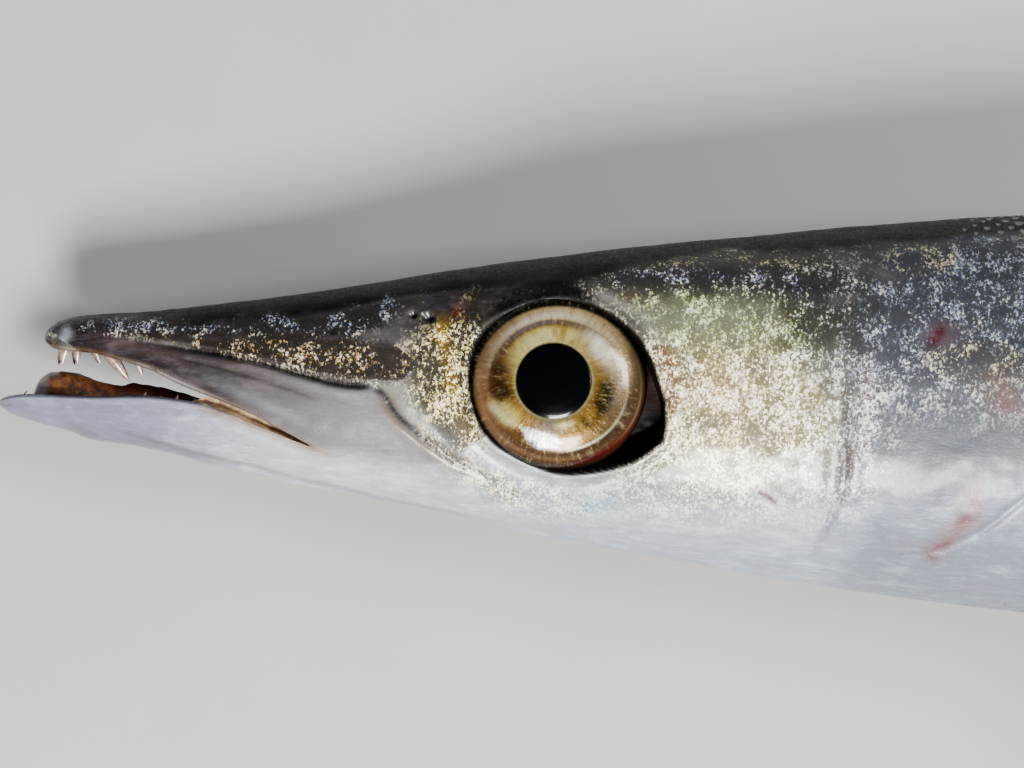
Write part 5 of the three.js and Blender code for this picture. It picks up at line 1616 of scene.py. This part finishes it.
def pelvic(side):
    """The middle sheet of a small fin that springs from the belly, outwards and to the rear."""
    reach_at = through([(0, 30), (0.4, 28), (1, 17)])
    facts = PELVIC_ROOT

    def centre(u, v):
        u, v = np.asarray(u, float), np.asarray(v, float)
        root_s = facts["s"] + facts["run"] * u
        w = blend(facts["outer"], facts["inner"], u)
        mid, low = widest(root_s), belly(root_s)
        drop = np.sqrt(1 - (w / half_width(root_s)) ** 2)
        h = mid - (mid - low) * drop - 0.55 + 0.9 * (1 - smooth(v, 0, 0.15))
        reach = reach_at(u) * v
        outward, down = blend(0.34, 0.1, u), blend(0.3, 0.2, u) + 0.06 * v
        s = root_s + reach * 0.92
        return s, h - reach * down, np.maximum(middle(s) + side * (w + reach * outward), 0.3)

    return centre


def tail_shade(u, v):
    """Dark towards the rear edge, and along the outer edge of each lobe."""
    return smooth(v, 0.35, 1.0) * 0.7 + 0.3 * hump(u, 0.2)


fin_piece("dorsal_fin_first", middle_fin(FIRST_DORSAL, 2.5), 5, 0.16, dusk=0.35, spiny=True)
fin_piece("dorsal_fin_second", middle_fin(SECOND_DORSAL, 1.5), 10, 0.03, dusk=0.5)
fin_piece("anal_fin", middle_fin(ANAL, 1.5), 10, 0.03, dusk=0.25)
for lobe, facts, dusk in (("upper", TAIL_UPPER, 0.75), ("lower", TAIL_LOWER, 0.7)):
    fin_piece(
        "tail_fin_" + lobe, tail_fin(facts), 13, 0.02, dusk=dusk, shaded=tail_shade, root_thick=3.2,
        silver=0.7,
    )
fin_piece("pectoral_fin_left", left_pectoral, 13, 0.03, dusk=0.15)
fin_piece("pectoral_fin_right", right_pectoral, 13, 0.03, dusk=0.15, root_thick=0.62)
fin_piece("pelvic_fin_left", pelvic(1), 6, 0.04, dusk=0.05)
fin_piece("pelvic_fin_right", pelvic(-1), 6, 0.04, dusk=0.05)


# Scales: small closed plates in slanting rows, raised at their rear edges.
SCALE_ROWS = 25
SCALE_PITCH = through([(88, 2.35), (112, 2.5), (165, 2.75), (230, 2.35), (280, 1.75), (338, 1.45)])
FIRST_SCALES = 87.0
LAST_SCALES = 336.5

# Rings of the finished skin: from the belly up the right side, over the back and down the left side.
shared_upper, shared_lower = skin.upper[-skin.shared:], skin.lower[-skin.shared:]
belly_column = LOWER_COLUMNS[0]
ring_ids = np.hstack([shared_lower[:, belly_column:-1], shared_upper, shared_lower[:, 1:belly_column + 1]])
ring_points = raised[ring_ids]
ring_normals = skin.normals(raised)[ring_ids]
ring_fish = np.stack([skin.s, skin.h, skin.w], 1)[ring_ids]
ring_s = ring_fish[:, 0, 0]
ring_top = LOWER_COLUMNS[1] + UPPER_COLUMNS[1]
ring_across = np.r_[
    LOWER_RIGHT_ACROSS[:-1], UPPER_RIGHT_ACROSS, UPPER_LEFT_ACROSS[1:], LOWER_LEFT_ACROSS[1:],
]


def on_skin(s, column):
    """Points, normals and fish measures on the finished skin, at stations and columns of its rings."""
    row = np.clip(np.interp(s, ring_s, np.arange(len(ring_s))), 0, len(ring_s) - 1.001)
    column = np.clip(column, 0, ring_ids.shape[1] - 1.001)
    i, j = row.astype(int), column.astype(int)
    a, b = (row - i)[..., None], (column - j)[..., None]
    out = []
    for grid in (ring_points, ring_normals, ring_fish):
        near = grid[i, j] * (1 - b) + grid[i, j + 1] * b
        far = grid[i + 1, j] * (1 - b) + grid[i + 1, j + 1] * b
        out.append(near * (1 - a) + far * a)
    return out


def scale_roots():
    """Stations, shares of the way round a side, and sizes of scales in rows that stand half a row apart."""
    starts = [FIRST_SCALES]
    while starts[-1] < LAST_SCALES:
        starts.append(starts[-1] + SCALE_PITCH(starts[-1]) * 0.5)
    shift = 0.25 + 0.5 * (np.arange(len(starts)) % 2)
    share = (np.arange(SCALE_ROWS) + shift[:, None]) / SCALE_ROWS
    s = np.repeat(starts, SCALE_ROWS)
    return s, share.ravel(), SCALE_PITCH(s)


def scale_coat(name, left, first, last):
    """Scales of one side, between two stations: rounded plates, sunk in front and a little proud behind."""
    columns = np.arange(ring_top, ring_ids.shape[1]) if left else np.arange(ring_top, -1, -1)
    side_fish = ring_fish[:, columns, 1:]
    steps = np.diff(side_fish, axis=1, prepend=side_fish[:, :1])
    runs = np.cumsum(np.hypot(steps[..., 0], steps[..., 1]), 1)
    random = np.random.default_rng(41 if left else 42)
    s0, share, size = scale_roots()
    s0 = s0 + random.normal(0, 0.07, len(s0)) * size

    def column_at(s, share):
        row = np.interp(s, ring_s, np.arange(len(ring_s))).round().astype(int)
        out = np.empty(len(s))
        for r in np.unique(row):
            chosen = row == r
            out[chosen] = np.interp(share[chosen] * runs[r, -1], runs[r], columns)
        return out

    # The scales begin behind the gill cover, further forward on the nape and on the breast.
    column = column_at(s0, share)
    root_s, root_h, _ = on_skin(s0, column)[2].T
    begins = np.where(root_h > 4.2, 99 + 2.5 * np.sin(root_h * 0.7), 111.5)
    begins = np.where(root_h < -12, 103 + (root_h + 30) * 0.25, begins)
    begins = begins + random.normal(0, 1.2, len(s0))
    clear = Side(root_s, root_h).depth(GILL_COVER, 4) < -1.6
    kept = (s0 > begins) & clear & (s0 > first) & (s0 <= last)
    s0, share, size, column = s0[kept], share[kept], size[kept], column[kept]
    grow = smooth(s0 - begins[kept], 0, 16) * 0.75 + 0.25
    whole = np.interp(s0, ring_s, runs[:, -1])
    wide = 0.66 * whole / SCALE_ROWS * (0.55 + 0.45 * grow)
    long = size * 1.32 * (0.5 + 0.5 * grow)

    across, along = np.meshgrid(np.linspace(-1, 1, 5), np.linspace(0, 1, 4), indexing="ij")
    bow = 1 - 0.42 * across**2
    a = across * np.where(along < 0.5, 0.86 + 0.28 * along, 1.0 - 0.22 * (along - 0.5) * 2)
    s = s0[:, None, None] + long[:, None, None] * (along * bow - 0.15)
    part = share[:, None, None] + (wide / whole)[:, None, None] * a
    point, normal, fish = on_skin(s.ravel(), column_at(s.ravel(), np.clip(part.ravel(), 0, 1)))
    up = (-0.14 + (0.14 + 0.15 * grow[:, None, None]) * (along * bow) ** 0.8 - 0.02 * across**2).ravel()
    top = point + normal * up[:, None]
    under = point + normal * np.minimum(up - 0.07, -0.05)[:, None]
    count, each = len(s0), across.size
    vertices = np.stack([top.reshape(count, each, 3), under.reshape(count, each, 3)], 1).reshape(-1, 3)
    vertices[:, 2] = np.maximum(vertices[:, 2], 0)
    plate = slab(np.arange(each).reshape(across.shape))
    if not left:
        plate = plate[:, ::-1]
    faces = (plate[None] + 2 * each * np.arange(count)[:, None, None]).reshape(-1, 4)

    # Each scale is a small patch of the unwrap, at the place of its root on the skin's.
    root_u, root_v = unwrap_along(s0), np.interp(column, np.arange(len(ring_across)), ring_across)
    local = np.stack([along - 0.5, across * 0.5], -1).reshape(1, each, 2) * 0.003
    patch = np.stack([root_u, root_v], 1)[:, None] + local
    patch = np.stack([patch, patch], 1).reshape(-1, 2)
    measures = np.stack([fish.reshape(count, each, 3)] * 2, 1).reshape(-1, 3)
    paints = paint(*measures.T, np.ones(len(measures)))
    paints["fish"] = measures
    rim = np.maximum(smooth(along, 0.55, 1.0), smooth(np.abs(across), 0.6, 1.0)).ravel()
    paints["rim"] = np.tile(np.r_[rim, np.ones(each)], count)
    paints["lustre"] = np.repeat(random.random(count), 2 * each)
    new_piece(name, vertices / 1000, faces, SCALE_FINISH, paints, patch[faces])


def scale_finish():
    """The skin's own colours on each plate, with a dark rim, and over its middle a painted sheen and
    steel-blue glint as strong as its own lustre.
    """
    scale = Finish("wet_scales")
    fish = scale.place()
    tone, fleck, metal = (scale.painted(name) for name in ("tone", "fleck", "metal"))
    rim, lustre = scale.painted("rim"), scale.painted("lustre")
    grain = scale.noise(fish, 2.1, 4, 0.6)
    drops = scale.noise(fish, 0.5, 4, 0.6)
    tone = scale.mix(fleck * (drops.between(0.42, 0.6) * 0.65), tone, tint("141517"))
    dark = scale.painted("crown")
    # A painted sheen and a steel-blue painted glint on each plate's middle.
    plate_sheen = lustre.between(0.3, 1.0) * (1 - rim) * (0.4 - dark * 0.34 - fleck * 0.2)
    tone = scale.mix(plate_sheen, tone, tint("b5bac1"))
    steel_glint = fleck * lustre.between(0.6, 0.95) * (1 - rim) * (0.36 - dark * 0.28)
    tone = scale.mix(steel_glint, tone, tint("6f7b92"))
    tone = scale.mix(rim * 0.34, tone, tint("2c2d2e"))
    height = grain * 0.4 + (1 - rim) * 0.3
    normal = scale.bump(height, 0.00006, 0.7)
    return scale.surface(
        base_color=tone, metallic=metal * 0.6, roughness=0.27 + grain * 0.16, normal=normal,
        coat_weight=0.6, coat_roughness=0.1,
    )


SCALE_FINISH = scale_finish()
for part, first, last in (("front", 80, 200), ("middle", 200, 275), ("rear", 275, 340)):
    scale_coat("scales_left_" + part, True, first, last)
    scale_coat("scales_right_" + part, False, first, last)


# The floor, the light and the camera.
def look_from(name, data, at, target, up=Vector((0, 1, 0))):
    """A light or a camera at one point, turned to another."""
    made = bpy.data.objects.new(name, data)
    bpy.context.scene.collection.objects.link(made)
    backwards = (Vector(at) - Vector(target)).normalized()
    right = up.cross(backwards).normalized()
    turn = Matrix((right, backwards.cross(right), backwards)).transposed().to_4x4()
    made.matrix_world = Matrix.Translation(Vector(at)) @ turn
    return made


def soft_light(name, at, target, size, power, colour):
    data = bpy.data.lights.new(name, "AREA")
    data.shape = "RECTANGLE"
    data.size, data.size_y = size
    data.energy = power
    data.color = colour
    look_from(name, data, at, target)


def pale_floor(reach, below):
    """A plain floor that reaches the same way on all sides, a hair below the fish's flats."""
    mesh = bpy.data.meshes.new("floor")
    rim = [(-reach, -reach, 0), (reach, -reach, 0), (reach, reach, 0), (-reach, reach, 0)]
    mesh.from_pydata(rim, [], [(0, 1, 2, 3)])
    finish = Finish("pale_floor")
    place = finish.node("ShaderNodeTexCoord", {}, {}, "Object")
    tone = finish.mix(finish.noise(place, 40, 4), tint("7e7e7c"), tint("868684"))
    mesh.materials.append(finish.surface(base_color=tone, roughness=0.7))
    floor = bpy.data.objects.new("floor", mesh)
    floor.location.z = -below
    bpy.context.scene.collection.objects.link(floor)


pale_floor(reach=1.6, below=0.0002)

# The camera looks at the rear of the cheek, almost straight down, with the fish turned a little.
CAMERA_DISTANCE = 0.3
CAMERA_TURN = math.radians(2.5)
target = Vector(to_frame(51.0, -3.34, 0.0))
facing = Vector((-0.046, 0, 1)).normalized()
upright = Vector((-math.sin(CAMERA_TURN), math.cos(CAMERA_TURN), 0))
camera_data = bpy.data.cameras.new("camera")
camera_data.sensor_width = 36
camera_data.lens = 96.8
camera_data.clip_start = 0.01
camera = look_from("camera", camera_data, target + CAMERA_DISTANCE * facing, target, upright)
bpy.context.scene.camera = camera

soft_light(
    "key", at=(-0.17, -0.3, 0.4), target=(-0.1, -0.005, 0.02), size=(0.16, 0.16), power=11.0,
    colour=(1, 0.99, 0.96),
)
soft_light(
    "side", at=(0.26, 0.1, 0.42), target=(-0.09, 0, 0.02), size=(0.2, 0.2), power=7.0,
    colour=(0.95, 0.975, 1),
)
world = bpy.data.worlds.new("studio")
world.use_nodes = True
sky = world.node_tree.nodes["Background"].inputs
sky["Color"].default_value = (0.9, 0.94, 1, 1)
sky["Strength"].default_value = 0.1
bpy.context.scene.world = world

bpy.context.view_layer.update()
